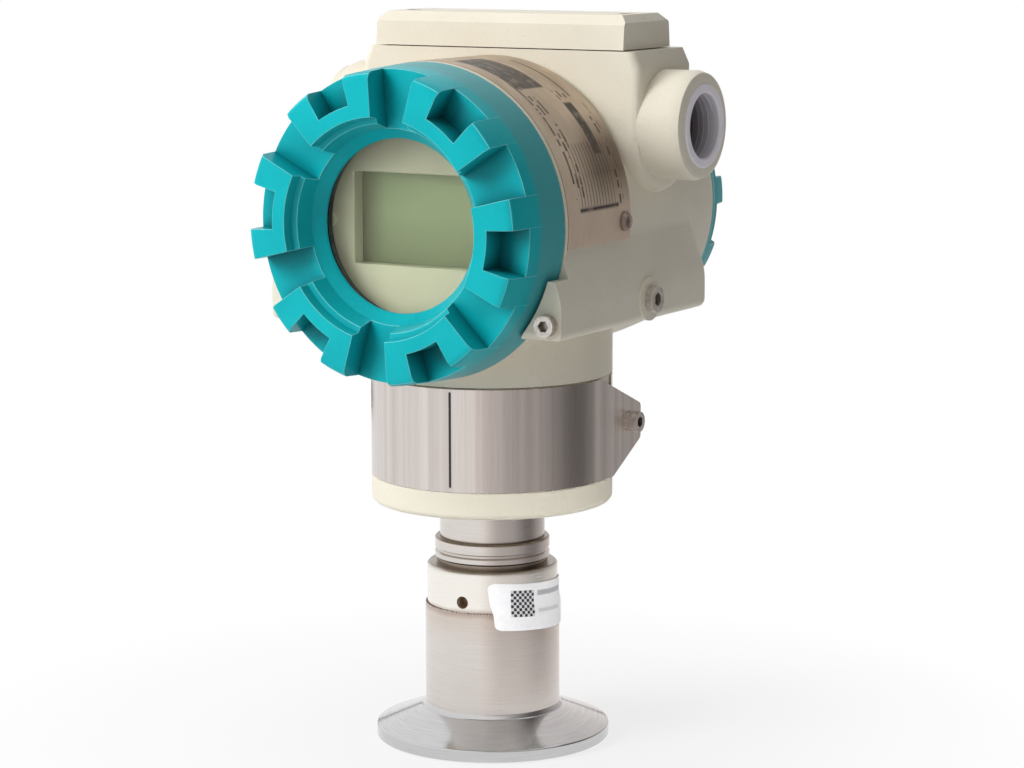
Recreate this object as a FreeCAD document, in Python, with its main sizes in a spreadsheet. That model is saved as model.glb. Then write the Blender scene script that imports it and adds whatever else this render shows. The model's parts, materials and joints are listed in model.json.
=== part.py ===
import FreeCAD, Part
import os
import re
import Sketcher

os.makedirs("parts", exist_ok=True)
doc = FreeCAD.newDocument("pressure_transmitter")
sheet = doc.addObject("Spreadsheet::Sheet", "p")
vec = FreeCAD.Vector
turn = FreeCAD.Rotation

# Heights are measured from the sealing face of the clamp ferrule, front is -Y, cable entry is +X.
sizes = {
    "ferrule_r": 32.0,                         # 64 mm clamp ferrule
    "ferrule_rim": 3.4,
    "ferrule_cone_z": 8.5,
    "groove_out": "=ferrule_r - 3.4",
    "groove_in": "=ferrule_r - 6.8",
    "groove_deep": 1.4,
    "diaphragm_r": "=ferrule_r - 12",
    "diaphragm_t": 0.5,
    "capillary_r": 2.0,
    "stem_r": 18.4,
    "stem_top": 37.0,
    "adapter_r": "=stem_r - 0.55",
    "adapter_top": "=stem_top + 11.7",
    "ring_r": "=adapter_r - 2.15",
    "ring_top": "=adapter_top + 7.2",
    "neck_r": "=adapter_r - 3.5",
    "fill_z": "=stem_top + 3.2",
    "fill_r": 1.7,
    "band_bottom": 73.5,
    "swivel_z": 101.2,                         # joint between cell and head
    "swivel_gap": 0.3,
    "spigot_bottom": "=swivel_z - 13.2",
    "band_top": "=swivel_z - 0.2",
    "band_t": 0.6,
    "collar_r": 32.85,
    "collar_bottom": "=band_bottom - 7.4",
    "collar_round": 1.6,
    "cell_floor": "=collar_bottom + 5.9",
    "cell_bore": "=collar_r - 4.85",
    "ear_screw_y": "=sqrt(collar_r ^ 2 - (collar_r - band_t - 3.55) ^ 2) + 2.6",
    "ear_tip": "=ear_screw_y + 6",
    "body_r": 41.0,                            # front half of the head
    "head_rise": "=body_r + 2.7",              # swivel joint to cap axis
    "flange_r": "=body_r + 0.7",
    "flange_front": 32.9,
    "flange_back": "=flange_front - 1.1",
    "front_thread_r": "=body_r - 5",
    "front_bore_r": "=front_thread_r - 3",
    "wall_front": 4.0,
    "wall_back": 8.0,
    "rear_cap_r": "=body_r - 1.8",
    "rear_r": "=rear_cap_r + 0.4",
    "rear_end": 55.5,
    "rear_thread_r": "=rear_cap_r - 4",
    "rear_bore_r": "=rear_thread_r - 2.6",
    "rear_cap_front": "=rear_end + 8.7",
    "rear_cap_floor": "=rear_cap_front - 5.3",
    "base_half": 43.3,                         # entry block, half its width
    "slab_half": "=base_half + 1",
    "base_front": "=flange_front + 7.1",
    "base_back": 43.2,
    "base_drop": 28.0,
    "base_waist": "=base_drop - 10.6",         # where the base starts to lean in to the tube
    "block_front": 3.2,
    "block_back": 33.6,
    "block_rise": "=body_r + 2.4",
    "boss_r": 14.6,
    "pad_r": "=0.5 * (block_back - block_front)",
    "pad_drop": 3.0,                           # round foot of the block, below the entry axis
    "bush_r": "=boss_r - 3.3",
    "entry_hole_r": "=bush_r - 2.65",
    "entry_x": "=base_half + 11.7",
    "entry_y": "=block_front + 15",
    "entry_rise": "=block_rise - 19.8",
    "bush_seat": "=entry_x - 14.5",
    "cap_gap": 0.3,
    "cap_skirt_r": "=body_r + 0.6",
    "cap_face_r": "=cap_skirt_r - 3.8",
    "cap_ring_r": "=cap_face_r - 9.1",
    "cap_front": 56.8,
    "cap_floor": "=cap_front - 7.6",
    "pocket_in": "=cap_face_r - 5.4",
    "pocket_deg": 17.5,
    "slot_deg": 19.5,
    "window_r": "=cap_ring_r - 6.1",
    "window_y": "=cap_front - 11.2",
    "glass_t": 4.0,
    "glass_r": "=window_r + 3.6",
    "bezel_r": "=front_thread_r - 6.6",
    "bezel_front": "=window_y - glass_t - 3.2",
    "board_front": "=bezel_front - 6.8",
    "lcd_half_w": "=bezel_r - 11.2",
    "lcd_half_h": "=bezel_r - 17.3",
    "lock_reach": "=cap_skirt_r + 5.3",        # front lock screw to cap axis
    "rear_lock_reach": "=rear_cap_r + 4.6",
    "flap_half": "=base_half - 4.8",
    "flap_front": "=block_front",
    "flap_back": "=block_back - 4",
    "flap_high": 9.1,
    "flap_wall": 2.0,
    "hinge_y": "=flap_back + 1.9",
    "hinge_up": 1.9,
    "knuckle_r": "=hinge_up - 0.2",
    "key_pitch": 14.0,
    "key_y": "=0.5 * (block_front + block_back) - 2",
    "plate_t": 0.5,
    "plate_back": "=block_front - 1.4",
}
for row, (name, value) in enumerate(sizes.items(), start=1):
    sheet.set(f"A{row}", name.replace("_", " "))
    sheet.set(f"B{row}", str(value))
    sheet.setAlias(f"B{row}", name)
doc.recompute()

axis_z = "(swivel_z + head_rise)"
base_z = "(swivel_z + head_rise - base_drop)"
block_z = "(swivel_z + head_rise + block_rise)"
entry_z = "(swivel_z + head_rise + entry_rise)"
along = {
    "x": turn(vec(0, 1, 0), 90),
    "y": turn(vec(1, 0, 0), -90),
    "z": turn(),
    "-x": turn(vec(0, 1, 0), -90),
    "-y": turn(vec(1, 0, 0), 90),
}


def drive(thing, formulas):
    for prop, text in formulas.items():
        thing.setExpression(prop, re.sub(r"[a-z]+_[a-z_]+", r"p.\g<0>", text))


def put(thing, x, y, z, way="z"):
    thing.Placement = FreeCAD.Placement(vec(0, 0, 0), along[way])
    drive(thing, {"Placement.Base.x": x, "Placement.Base.y": y, "Placement.Base.z": z})
    return thing


def rod(name, way, radius, length, x="0", y="0", z="0"):
    thing = doc.addObject("Part::Cylinder", name)
    drive(thing, {"Radius": radius, "Height": length})
    return put(thing, x, y, z, way)


def brick(name, long_x, long_y, long_z, x, y, z):
    thing = doc.addObject("Part::Box", name)
    drive(thing, {"Length": long_x, "Width": long_y, "Height": long_z})
    return put(thing, x, y, z)


def hexagon(name, way, radius, length, x, y, z):
    thing = doc.addObject("Part::Prism", name)
    thing.Polygon = 6
    drive(thing, {"Circumradius": radius, "Height": length})
    return put(thing, x, y, z, way)


def hoop(name, way, big, small, x="0", y="0", z="0"):
    thing = doc.addObject("Part::Torus", name)
    drive(thing, {"Radius1": big, "Radius2": small})
    return put(thing, x, y, z, way)


def fuse(name, things):
    joined = doc.addObject("Part::MultiFuse", name)
    joined.Shapes = things
    joined.Refine = True
    return joined


def cut(name, base, tools):
    tool = tools[0]
    if len(tools) > 1:
        tool = fuse(name + "_tool", tools)
    carved = doc.addObject("Part::Cut", name)
    carved.Base = base
    carved.Tool = tool
    carved.Refine = True
    return carved


def common(name, first, second):
    shared = doc.addObject("Part::MultiCommon", name)
    shared.Shapes = [first, second]
    return shared


def new_body(name, x="0", y="0", z="0", way="z", spin=0):
    body = doc.addObject("PartDesign::Body", name)
    body.Placement = FreeCAD.Placement(vec(0, 0, 0), along[way] * turn(vec(0, 0, 1), spin))
    drive(body, {"Placement.Base.x": x, "Placement.Base.y": y, "Placement.Base.z": z})
    return body


def origin_part(body, role):
    return [item for item in body.Origin.OriginFeatures if item.Role == role][0]


def outline(body, role, corners):
    sketch = body.newObject("Sketcher::SketchObject", body.Name + "_outline")
    sketch.AttachmentSupport = [(origin_part(body, role), "")]
    sketch.MapMode = "FlatFace"
    count = len(corners)
    for index in range(count):
        start = vec(10 + index, 20 + index * index, 0)
        following = (index + 1) % count
        end = vec(10 + following, 20 + following * following, 0)
        sketch.addGeometry(Part.LineSegment(start, end), False)
    for index in range(count):
        sketch.addConstraint(Sketcher.Constraint("Coincident", index, 2, (index + 1) % count, 1))
    for index, (across, up) in enumerate(corners):
        for kind, text in (("DistanceX", across), ("DistanceY", up)):
            place = sketch.addConstraint(Sketcher.Constraint(kind, -1, 1, index, 1, 1.0))
            drive(sketch, {f"Constraints[{place}]": text})
    return sketch


def spun(name, corners, x="0", y="0", z="0", way="z", spin=0):
    body = new_body(name, x, y, z, way, spin)
    sketch = outline(body, "XZ_Plane", corners)
    solid = body.newObject("PartDesign::Revolution", name + "_turned")
    solid.Profile = sketch
    solid.ReferenceAxis = (sketch, ["V_Axis"])
    solid.Angle = 360.0
    return body


def notch_round(body, role, corners, degrees, count):
    sketch = outline(body, role, corners)
    notch = body.newObject("PartDesign::Groove", body.Name + "_notch")
    notch.Profile = sketch
    notch.ReferenceAxis = (sketch, ["V_Axis"])
    notch.Midplane = True
    drive(notch, {"Angle": degrees})
    ring = body.newObject("PartDesign::PolarPattern", body.Name + "_notches")
    ring.Originals = [notch]
    ring.Axis = (origin_part(body, "Z_Axis"), [""])
    ring.Angle = 360.0
    ring.Occurrences = count
    body.Tip = ring
    return ring


def raised(name, role, corners, length, x="0", y="0", z="0"):
    body = new_body(name, x, y, z)
    sketch = outline(body, role, corners)
    solid = body.newObject("PartDesign::Pad", name + "_pad")
    solid.Profile = sketch
    drive(solid, {"Length": length})
    return body


def soften(body, kind, size, wanted):
    doc.recompute()
    tip = body.Tip
    names = [f"Edge{i}" for i, edge in enumerate(tip.Shape.Edges, start=1) if wanted(edge)]
    dressed = body.newObject("PartDesign::" + kind, body.Name + "_" + kind.lower())
    dressed.Base = (tip, names)
    drive(dressed, {("Radius" if kind == "Fillet" else "Size"): size})
    body.Tip = dressed
    return dressed


def runs(edge, direction):
    if edge.Curve.TypeId != "Part::GeomLine":
        return False
    return abs(edge.tangentAt(edge.FirstParameter).dot(direction)) > 0.99


east = vec(1, 0, 0)
north = vec(0, 1, 0)
up = vec(0, 0, 1)
finished = []


def keep(thing, node):
    thing.Label = node
    finished.append(thing)
    return thing


def cap_screw(node, way, radius, shank, length, x, y, z, head="3"):
    signs = {"x": (1, 0, 0), "-x": (-1, 0, 0), "y": (0, 1, 0), "-y": (0, -1, 0), "z": (0, 0, 1)}
    step = signs[way]
    head_rod = rod(node + "_head", way, radius, head, x, y, z)
    back = [f"{text} - ({sign}) * ({length})" for text, sign in zip((x, y, z), step)]
    shank_rod = rod(node + "_shank", way, shank, length, *back)
    hole = [f"{text} + ({sign}) * ({head} - 1.8)" for text, sign in zip((x, y, z), step)]
    socket = hexagon(node + "_hex", way, f"0.55 * ({radius})", "2.5", *hole)
    whole = fuse(node + "_solid", [head_rod, shank_rod])
    return keep(cut(node, whole, [socket]), node)


# Process end: ferrule with its diaphragm, adapter and the sensor cell housing.
keep(spun("clamp_ferrule", [
    ("capillary_r", "diaphragm_t"), ("diaphragm_r + 0.3", "diaphragm_t"), ("diaphragm_r + 0.3", "0"),
    ("groove_in", "0"), ("groove_in + 0.5", "groove_deep"), ("groove_out - 0.5", "groove_deep"),
    ("groove_out", "0"), ("ferrule_r - 0.3", "0"), ("ferrule_r", "0.3"), ("ferrule_r", "ferrule_rim - 0.3"),
    ("ferrule_r - 0.3", "ferrule_rim"), ("stem_r + 0.8", "ferrule_cone_z - 0.2"),
    ("stem_r", "ferrule_cone_z + 0.9"), ("stem_r", "stem_top"), ("capillary_r", "stem_top")]), "clamp_ferrule")
keep(rod("diaphragm", "z", "diaphragm_r", "diaphragm_t"), "diaphragm")
adapter = spun("adapter_turned", [
    ("capillary_r", "stem_top"), ("adapter_r + 0.25", "stem_top"), ("adapter_r", "stem_top + 0.5"),
    ("adapter_r", "adapter_top - 0.6"), ("adapter_r - 0.6", "adapter_top"), ("ring_r - 0.5", "adapter_top"),
    ("ring_r - 0.5", "adapter_top + 1.2"), ("ring_r", "adapter_top + 1.7"), ("ring_r", "adapter_top + 2.9"),
    ("ring_r - 0.6", "adapter_top + 3.3"), ("ring_r - 0.6", "adapter_top + 3.9"),
    ("ring_r", "adapter_top + 4.3"), ("ring_r", "ring_top - 0.5"), ("ring_r - 0.5", "ring_top"),
    ("neck_r", "ring_top"), ("neck_r", "cell_floor"), ("capillary_r", "cell_floor")])
fill_hole = rod("fill_hole", "-y", "fill_r", "6", "1.1", "4.2 - adapter_r", "fill_z")
keep(cut("process_adapter", adapter, [fill_hole]), "process_adapter")
keep(rod("fill_plug", "-y", "fill_r", "2", "1.1", "4.2 - adapter_r", "fill_z"), "fill_plug")
cell = spun("cell_turned", [
    ("neck_r", "collar_bottom"), ("collar_r", "collar_bottom"), ("collar_r", "band_bottom - 0.1"),
    ("collar_r - band_t", "band_bottom - 0.1"), ("collar_r - band_t", "swivel_z"), ("cell_bore", "swivel_z"),
    ("cell_bore", "cell_floor"), ("neck_r", "cell_floor")])
soften(cell, "Fillet", "collar_round", lambda edge: edge.BoundBox.ZMax < sheet.collar_bottom + 0.01
       and edge.BoundBox.XMax > sheet.collar_r - 0.01)
keep(cell, "cell_housing")
capsule = spun("sensor_capsule", [
    ("0", "cell_floor"), ("cell_bore - 6", "cell_floor"), ("cell_bore - 6", "cell_floor + 5"),
    ("cell_bore - 11", "cell_floor + 6"), ("cell_bore - 11", "cell_floor + 10"), ("0", "cell_floor + 10")])
keep(capsule, "sensor_capsule")
keep(rod("sensor_board", "z", "cell_bore - 12", "1.6", z="cell_floor + 10"), "sensor_board")

# Clamped tag band with its two ears.
band_high = "band_top - band_bottom"
band_ring = cut("band_ring", rod("band_out", "z", "collar_r", band_high, z="band_bottom"), [
    rod("band_in", "z", "collar_r - band_t", band_high, z="band_bottom"),
    brick("band_break", "12", "11.4", band_high, "26", "0", "band_bottom")])
ear_slope = "0.31 * (band_top - band_bottom)"
ear_fall = "(1 + " + ear_slope + ")"
ear_corners = [("0", "band_bottom"), ("9", "band_bottom"), ("ear_tip", "band_bottom + " + ear_slope),
               ("ear_tip", "band_top - " + ear_fall), ("2", "band_top"), ("0", "band_top")]
outer_ear = raised("outer_ear", "YZ_Plane", ear_corners, "band_t", x="collar_r - band_t")
soften(outer_ear, "Fillet", "1.6", lambda edge: runs(edge, east) and edge.Vertexes[0].Y > 20)
inner_ear = raised("inner_ear", "YZ_Plane", [
    ("11.3", "band_bottom + 0.5"), ("ear_tip", "band_bottom + " + ear_slope), ("ear_tip", "band_top - " + ear_fall),
    ("11.3", "band_top - 9.3 / (ear_tip - 2) * " + ear_fall)], "band_t", x="collar_r - band_t - 2.05")
ear_z = "0.5 * (band_bottom + band_top)"
band_solid = fuse("band_solid", [band_ring, outer_ear, inner_ear])
ear_hole = rod("ear_hole", "x", "1.6", "8", "collar_r - 6", "ear_screw_y", ear_z)
keep(cut("tag_band", band_solid, [ear_hole]), "tag_band")
cap_screw("tag_band_screw", "x", "2.8", "1.5", "5", "collar_r", "ear_screw_y", ear_z)
nut_x = "collar_r - band_t - 2.05 - 1.5"
nut = hexagon("nut_hex", "x", "2.7", "1.5", nut_x, "ear_screw_y", ear_z)
nut_hole = rod("nut_hole", "x", "1.5", "3", nut_x + " - 0.5", "ear_screw_y", ear_z)
keep(cut("tag_band_nut", nut, [nut_hole]), "tag_band_nut")

# Paper label round the stem, a little askew.
label_tube = spun("label_tube", [
    ("stem_r + 0.1", "stem_top - 10"), ("stem_r + 0.35", "stem_top - 10"), ("stem_r + 0.35", "stem_top + 0.4"),
    ("adapter_r + 0.4", "stem_top + 3"), ("adapter_r + 0.4", "stem_top + 11"),
    ("adapter_r + 0.15", "stem_top + 11"), ("adapter_r + 0.15", "stem_top + 2.9"),
    ("stem_r + 0.1", "stem_top + 0.3")])
label_edge = raised("label_edge", "YZ_Plane", [
    ("-13", "-6.4"), ("14", "-6.4"), ("14", "6.4"), ("-14.9", "6.4")], "30")
soften(label_edge, "Fillet", "1.4", lambda edge: runs(edge, east))
label_edge.Placement = FreeCAD.Placement(vec(0, 0, 0), turn(up, -10.5) * turn(east, -3.6))
drive(label_edge, {"Placement.Base.z": "stem_top + 1.6"})
keep(common("stem_label", label_tube, label_edge), "stem_label")

# Electronics housing: one casting with two chambers, base, neck and a block for the entries.
front_tube = rod("front_tube", "y", "body_r", "flange_back + block_front", y="-flange_back", z=axis_z)
flange = rod("flange", "y", "flange_r", "flange_front - flange_back", y="-flange_front", z=axis_z)
rear_tube = spun("rear_tube", [
    ("0", "block_front"), ("rear_r + 1", "block_front"), ("rear_r + 0.6", "rear_end - 10"),
    ("rear_r", "rear_end - 1.5"), ("rear_r - 0.8", "rear_end"), ("0", "rear_end")], z=axis_z, way="y")
base = raised("base_block", "XZ_Plane", [
    ("-slab_half", "-base_drop"), ("slab_half", "-base_drop"), ("slab_half", "-base_waist"),
    ("slab_half - 5.8", "15.4 - base_waist"), ("5.8 - slab_half", "15.4 - base_waist"),
    ("-slab_half", "-base_waist")], "base_front + base_back", y="base_back", z=axis_z)
soften(base, "Fillet", "16", lambda edge: runs(edge, north) and abs(edge.BoundBox.ZMax + sheet.base_waist) < 0.01)
soften(base, "Fillet", "4", lambda edge: edge.BoundBox.YMin > -0.01 and not runs(edge, east))
soften(base, "Fillet", "2.4", lambda edge: edge.BoundBox.ZMax < 0.01 - sheet.base_drop)
neck = rod("neck", "z", "collar_r", "head_rise - 18 - swivel_gap", z="swivel_z + swivel_gap")
spigot = rod("spigot", "z", "cell_bore - 0.4", "swivel_z - spigot_bottom + 2", z="spigot_bottom")
top_block = raised("top_block", "XZ_Plane", [
    ("-base_half", "entry_rise - pad_drop"), ("base_half", "entry_rise - pad_drop"),
    ("base_half", "block_rise - 4.2"),
    ("base_half - 2", "block_rise"), ("2 - base_half", "block_rise"),
    ("-base_half", "block_rise - 4.2")], "block_back - block_front", y="block_back", z=axis_z)
soften(top_block, "Fillet", "2.4", lambda edge: runs(edge, up) or runs(edge, vec(2, 0, 4.2).normalize())
       or runs(edge, vec(-2, 0, 4.2).normalize()))
block_core = brick("block_core", "2 * body_r - 10", "block_back - block_front", "block_rise - 2",
                   "5 - body_r", "block_front", axis_z)
pad = spun("entry_pad", [
    ("0", "-base_half"), ("pad_r - 2.4", "-base_half"), ("pad_r - 0.7", "0.7 - base_half"),
    ("pad_r", "2.4 - base_half"), ("pad_r", "base_half - 2.4"), ("pad_r - 0.7", "base_half - 0.7"),
    ("pad_r - 2.4", "base_half"), ("0", "base_half")],
    y="block_front + pad_r", z=entry_z + " - pad_drop", way="x")
boss = spun("entry_boss", [
    ("0", "-entry_x"), ("boss_r - 2", "-entry_x"), ("boss_r - 0.6", "0.7 - entry_x"),
    ("boss_r", "2.4 - entry_x"), ("boss_r + 0.4", "0"), ("boss_r", "entry_x - 2.4"),
    ("boss_r - 0.6", "entry_x - 0.7"), ("boss_r - 2", "entry_x"), ("0", "entry_x")],
    y="entry_y", z=entry_z, way="x")
lock_x = "sqrt(lock_reach ^ 2 - (base_drop - 4.3) ^ 2)"
lock_z = base_z + " + 4.3"
lock_boss = rod("lock_boss", "y", "3.7", "14", lock_x, "-base_front", lock_z)
rear_lock_x = "-sqrt(rear_lock_reach ^ 2 - 15.5 ^ 2)"
rear_lock_z = axis_z + " - 15.5"
rear_lock_boss = rod("rear_lock_boss", "y", "5.2", "14", rear_lock_x, "rear_end - 14", rear_lock_z)
rear_lock_web = brick("rear_lock_web", "rear_lock_reach - rear_bore_r + 6", "14", "10.4", rear_lock_x,
                      "rear_end - 14", rear_lock_z + " - 5.2")
swivel_lock_z = base_z + " + 6"
earth_z = base_z + " + 8.6"
swivel_spot = rod("swivel_spot", "x", "5.8", "6", "slab_half - 5.4", "7.4", swivel_lock_z)
earth_spot = rod("earth_spot", "-x", "6.5", "6", "5.2 - slab_half", "10.9", earth_z)
hinge_z = "(swivel_z + head_rise + block_rise + hinge_up)"
hinge_post = brick("hinge_post", "16", "2 * knuckle_r", "hinge_up + 0.2", "-8", "hinge_y - knuckle_r",
                   block_z + " - 0.2")
hinge_barrel = rod("hinge_barrel", "x", "knuckle_r", "16", "-8", "hinge_y", hinge_z)
casting = fuse("casting", [front_tube, flange, rear_tube, base, neck, spigot, top_block, block_core, pad,
                           boss, lock_boss, rear_lock_boss, rear_lock_web, swivel_spot, earth_spot, hinge_post,
                           hinge_barrel])
hollows = [
    rod("skirt_room", "y", "cap_skirt_r + 0.7", "30", y="-flange_front - 30", z=axis_z),
    brick("ear_room", "2 * slab_half + 2", "base_front - flange_front", "15", "-slab_half - 1", "-base_front",
          axis_z + " - 12.5"),
    rod("front_thread", "y", "front_thread_r", "14", y="-flange_front", z=axis_z),
    rod("front_bore", "y", "front_bore_r", "flange_front - wall_front", y="-flange_front", z=axis_z),
    rod("rear_thread", "y", "rear_thread_r", "12", y="rear_end - 12", z=axis_z),
    rod("rear_bore", "y", "rear_bore_r", "rear_end - wall_back", y="wall_back", z=axis_z),
    rod("entry_seat", "x", "bush_r", "entry_x - bush_seat + 1", "bush_seat", "entry_y", entry_z),
    rod("plug_seat", "-x", "bush_r", "entry_x - bush_seat + 1", "-bush_seat", "entry_y", entry_z),
    rod("entry_hole", "x", "entry_hole_r + 0.6", "2 * bush_seat", "-bush_seat", "entry_y", entry_z),
    rod("spigot_bore", "z", "cell_bore - 8", "swivel_z - spigot_bottom + 6", z="spigot_bottom - 1"),
    rod("wire_way", "z", "6", "16", y="-15", z="swivel_z"),
    brick("key_well", "2 * key_pitch + 20", "15", "5", "-key_pitch - 10", "key_y - 7.5", block_z + " - 4.4"),
    rod("pin_hole", "x", "0.9", "60", "-30", "hinge_y", hinge_z),
    rod("lock_hole", "y", "2", "9", lock_x, "-base_front", lock_z),
    rod("rear_lock_hole", "-y", "2", "8", rear_lock_x, "rear_end", rear_lock_z),
    rod("swivel_hole", "-x", "2", "8", "slab_half + 0.6", "7.4", swivel_lock_z),
    rod("earth_hole", "x", "2", "8", "-slab_half - 0.8", "10.9", earth_z),
    rod("inner_earth_hole", "-y", "1.5", "4", "14", "wall_back", "swivel_z + head_rise - 18"),
    cut("swivel_groove", rod("groove_rim", "z", "cell_bore", "2.2", z="spigot_bottom + 5"), [
        rod("groove_core", "z", "cell_bore - 2", "2.2", z="spigot_bottom + 5")]),
]
for index in (-1, 0, 1):
    place = f"({index}) * key_pitch"
    hollows.append(rod(f"key_hole_{index + 1}", "z", "2.8", "9", place, "key_y", block_z + " - 12"))
for side in (-1, 1):
    place = f"({side}) * (flap_half - 5)"
    hollows.append(rod(f"flap_hole_{side + 1}", "z", "1.6", "8", place, "key_y", block_z + " - 7"))
keep(cut("housing", casting, hollows), "housing")
keep(hoop("swivel_seal", "z", "cell_bore - 1.1", "0.8", z="spigot_bottom + 6.1"), "swivel_seal")
keep(rod("hinge_pin", "x", "0.9", "60", "-30", "hinge_y", hinge_z), "hinge_pin")

# Nameplate over the front half with its two drive screws.
plate_long = "plate_back + flange_back - 0.4"
plate_in_r = "body_r + 0.25"
plate_out = rod("plate_out", "y", plate_in_r + " + plate_t", plate_long, y="0.4 - flange_back", z=axis_z)
plate_in = rod("plate_in", "y", plate_in_r, plate_long, y="0.4 - flange_back", z=axis_z)
plate_tube = cut("plate_tube", plate_out, [plate_in])
plate_room = brick("plate_room", "100", "60", "60", "-50", "-flange_back", "swivel_z + head_rise - 5.4")
keep(common("nameplate", plate_tube, plate_room), "nameplate")
studs = []
for side, way in ((1, "x"), (-1, "-x")):
    face = f"({side}) * ({plate_in_r} + plate_t + 0.1)"
    stud = spun("stud_" + way.replace("-", "n"), [
        ("0", "0"), ("2.6", "0"), ("2.6", "0.5"), ("1.8", "1.3"), ("0", "1.6")],
        face, "-1.6", "swivel_z + head_rise - 0.6", way)
    studs.append(keep(stud, "nameplate_screw_right" if side > 0 else "nameplate_screw_left"))

# Front chamber: electronics cup, board, display and bezel.
cup = rod("cup", "y", "bezel_r - 1.9", "board_front - 1.6 - wall_front - 3.8", y="1.6 - board_front",
          z=axis_z)
posts = [rod(f"post_{i}", "y", "3", "5", str(px), "-wall_front - 5", f"swivel_z + head_rise + ({pz})")
         for i, (px, pz) in enumerate(((20, -12), (-20, -12), (0, 22)))]
keep(fuse("electronics_module", [cup] + posts), "electronics_module")
keep(rod("display_board", "y", "bezel_r - 0.9", "1.6", y="-board_front", z=axis_z), "display_board")
lcd_place = ["-lcd_half_w - 2", "-board_front - 2.4", axis_z + " - lcd_half_h - 0.6"]
keep(brick("lcd_panel", "2 * lcd_half_w + 4", "2.4", "2 * lcd_half_h + 3", *lcd_place), "lcd_panel")
bezel_disc = rod("bezel_disc", "y", "bezel_r", "bezel_front - board_front", y="-bezel_front", z=axis_z)
bezel_slot = brick("bezel_slot", "2 * lcd_half_w", "20", "2 * lcd_half_h", "-lcd_half_w", "-bezel_front - 5",
                   "swivel_z + head_rise - lcd_half_h + 0.9")
bezel_back = brick("bezel_back", "2 * lcd_half_w + 4", "2.4", "2 * lcd_half_h + 3", *lcd_place)
keep(cut("display_bezel", bezel_disc, [bezel_slot, bezel_back]), "display_bezel")
for side in (-1, 1):
    node = "display_screw_right" if side > 0 else "display_screw_left"
    keep(rod(node, "-y", "1.9", "0.9", f"({side}) * (bezel_r - 3.8)", "-bezel_front", axis_z), node)

# Rear chamber: terminal strip, clamp screws and the inner earth screw.
strip = brick("strip", "44", "11", "15", "-22", "wall_back", "swivel_z + head_rise - 7")
cells = [brick(f"strip_cell_{i}", "8.4", "4", "12", f"{-20.2 + 10.67 * i}", "wall_back + 8",
               "swivel_z + head_rise - 5.5") for i in range(4)]
keep(cut("terminal_block", strip, cells), "terminal_block")
screws = []
for index in range(4):
    head = rod(f"clamp_head_{index}", "y", "2.9", "2.2", f"{-16 + 10.67 * index}", "wall_back + 8",
               axis_z + " + 1")
    slot = brick(f"clamp_slot_{index}", "5.4", "1", "0.9", f"{-18.7 + 10.67 * index}", "wall_back + 9.4",
                 axis_z + " + 0.55")
    screws.append(keep(cut(f"terminal_screw_{index + 1}", head, [slot]), f"terminal_screw_{index + 1}"))
cap_screw("inner_earth_screw", "y", "3", "1.5", "4", "14", "wall_back", "swivel_z + head_rise - 18")

# Entry fittings and outside screws.
bush = rod("bush_out", "x", "bush_r", "entry_x - bush_seat + 0.3", "bush_seat", "entry_y", entry_z)
bush_hole = rod("bush_hole", "x", "entry_hole_r", "40", "bush_seat - 5", "entry_y", entry_z)
keep(cut("entry_bush", bush, [bush_hole]), "entry_bush")
plug = spun("plug_turned", [("0", "bush_seat"), ("bush_r", "bush_seat"), ("bush_r", "entry_x"),
                            ("bush_r + 1.8", "entry_x"), ("bush_r + 1.8", "entry_x + 2"),
                            ("bush_r + 1", "entry_x + 2.8"), ("0", "entry_x + 2.8")],
            y="entry_y", z=entry_z, way="-x")
plug_hex = hexagon("plug_hex", "-x", "5.8", "6", "-entry_x + 2", "entry_y", entry_z)
keep(cut("blanking_plug", plug, [plug_hex]), "blanking_plug")
cap_screw("front_lock_screw", "-y", "2.8", "2", "9", lock_x, "-base_front", lock_z, "2.6")
cap_screw("rear_lock_screw", "y", "3.5", "2", "8", rear_lock_x, "rear_end", rear_lock_z)
cap_screw("swivel_lock_screw", "x", "3.5", "2", "7", "slab_half + 0.6", "7.4", swivel_lock_z, "2.2")
cap_screw("earth_screw", "-x", "3.5", "2", "7", "-slab_half - 2.4", "10.9", earth_z)
clamp_plate = brick("clamp_plate", "1.6", "10", "10", "-slab_half - 2.4", "5.9", earth_z + " - 5")
clamp_hole = rod("clamp_hole", "-x", "2", "6", "-slab_half + 1", "10.9", earth_z)
keep(cut("earth_clamp", clamp_plate, [clamp_hole]), "earth_clamp")

# Front cap with its window: lugs come from notching a turned ring.
cap_back = "(flange_front + cap_gap)"
front_cap = spun("front_cap", [
    ("cap_skirt_r", cap_back), ("cap_skirt_r - 0.5", "cap_floor - 5"), ("cap_face_r + 3", "cap_floor - 1"),
    ("cap_face_r + 2.5", "cap_front - 1.9"), ("cap_face_r + 1.9", "cap_front - 0.7"),
    ("cap_face_r + 0.6", "cap_front"), ("cap_ring_r", "cap_front"), ("cap_ring_r - 0.5", "cap_front - 2.8"),
    ("cap_ring_r - 1.9", "cap_front - 3.3"), ("window_r + 2.6", "window_y + 3"),
    ("window_r + 0.3", "window_y + 0.8"), ("window_r", "window_y"), ("glass_r + 0.3", "window_y"),
    ("glass_r + 0.3", "window_y - glass_t - 1.9"), ("bezel_r + 1.4", "window_y - glass_t - 1.9"),
    ("bezel_r + 1.4", "flange_front - 10.4"), ("front_thread_r - 0.4", "flange_front - 10.4"),
    ("front_thread_r - 0.4", "flange_front - 3"), ("front_thread_r - 2.1", "flange_front - 3"),
    ("front_thread_r - 2.1", "flange_front - 0.7"), ("front_thread_r - 0.4", "flange_front - 0.7"),
    ("front_thread_r - 0.4", cap_back)], z=axis_z, way="-y", spin=-6.1)
notch_tail = [("cap_face_r + 2.8", "cap_floor"), ("cap_face_r + 3.1", "cap_floor - 1"),
              ("cap_face_r + 12", "cap_floor - 1"), ("cap_face_r + 12", "cap_front + 5")]
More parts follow.
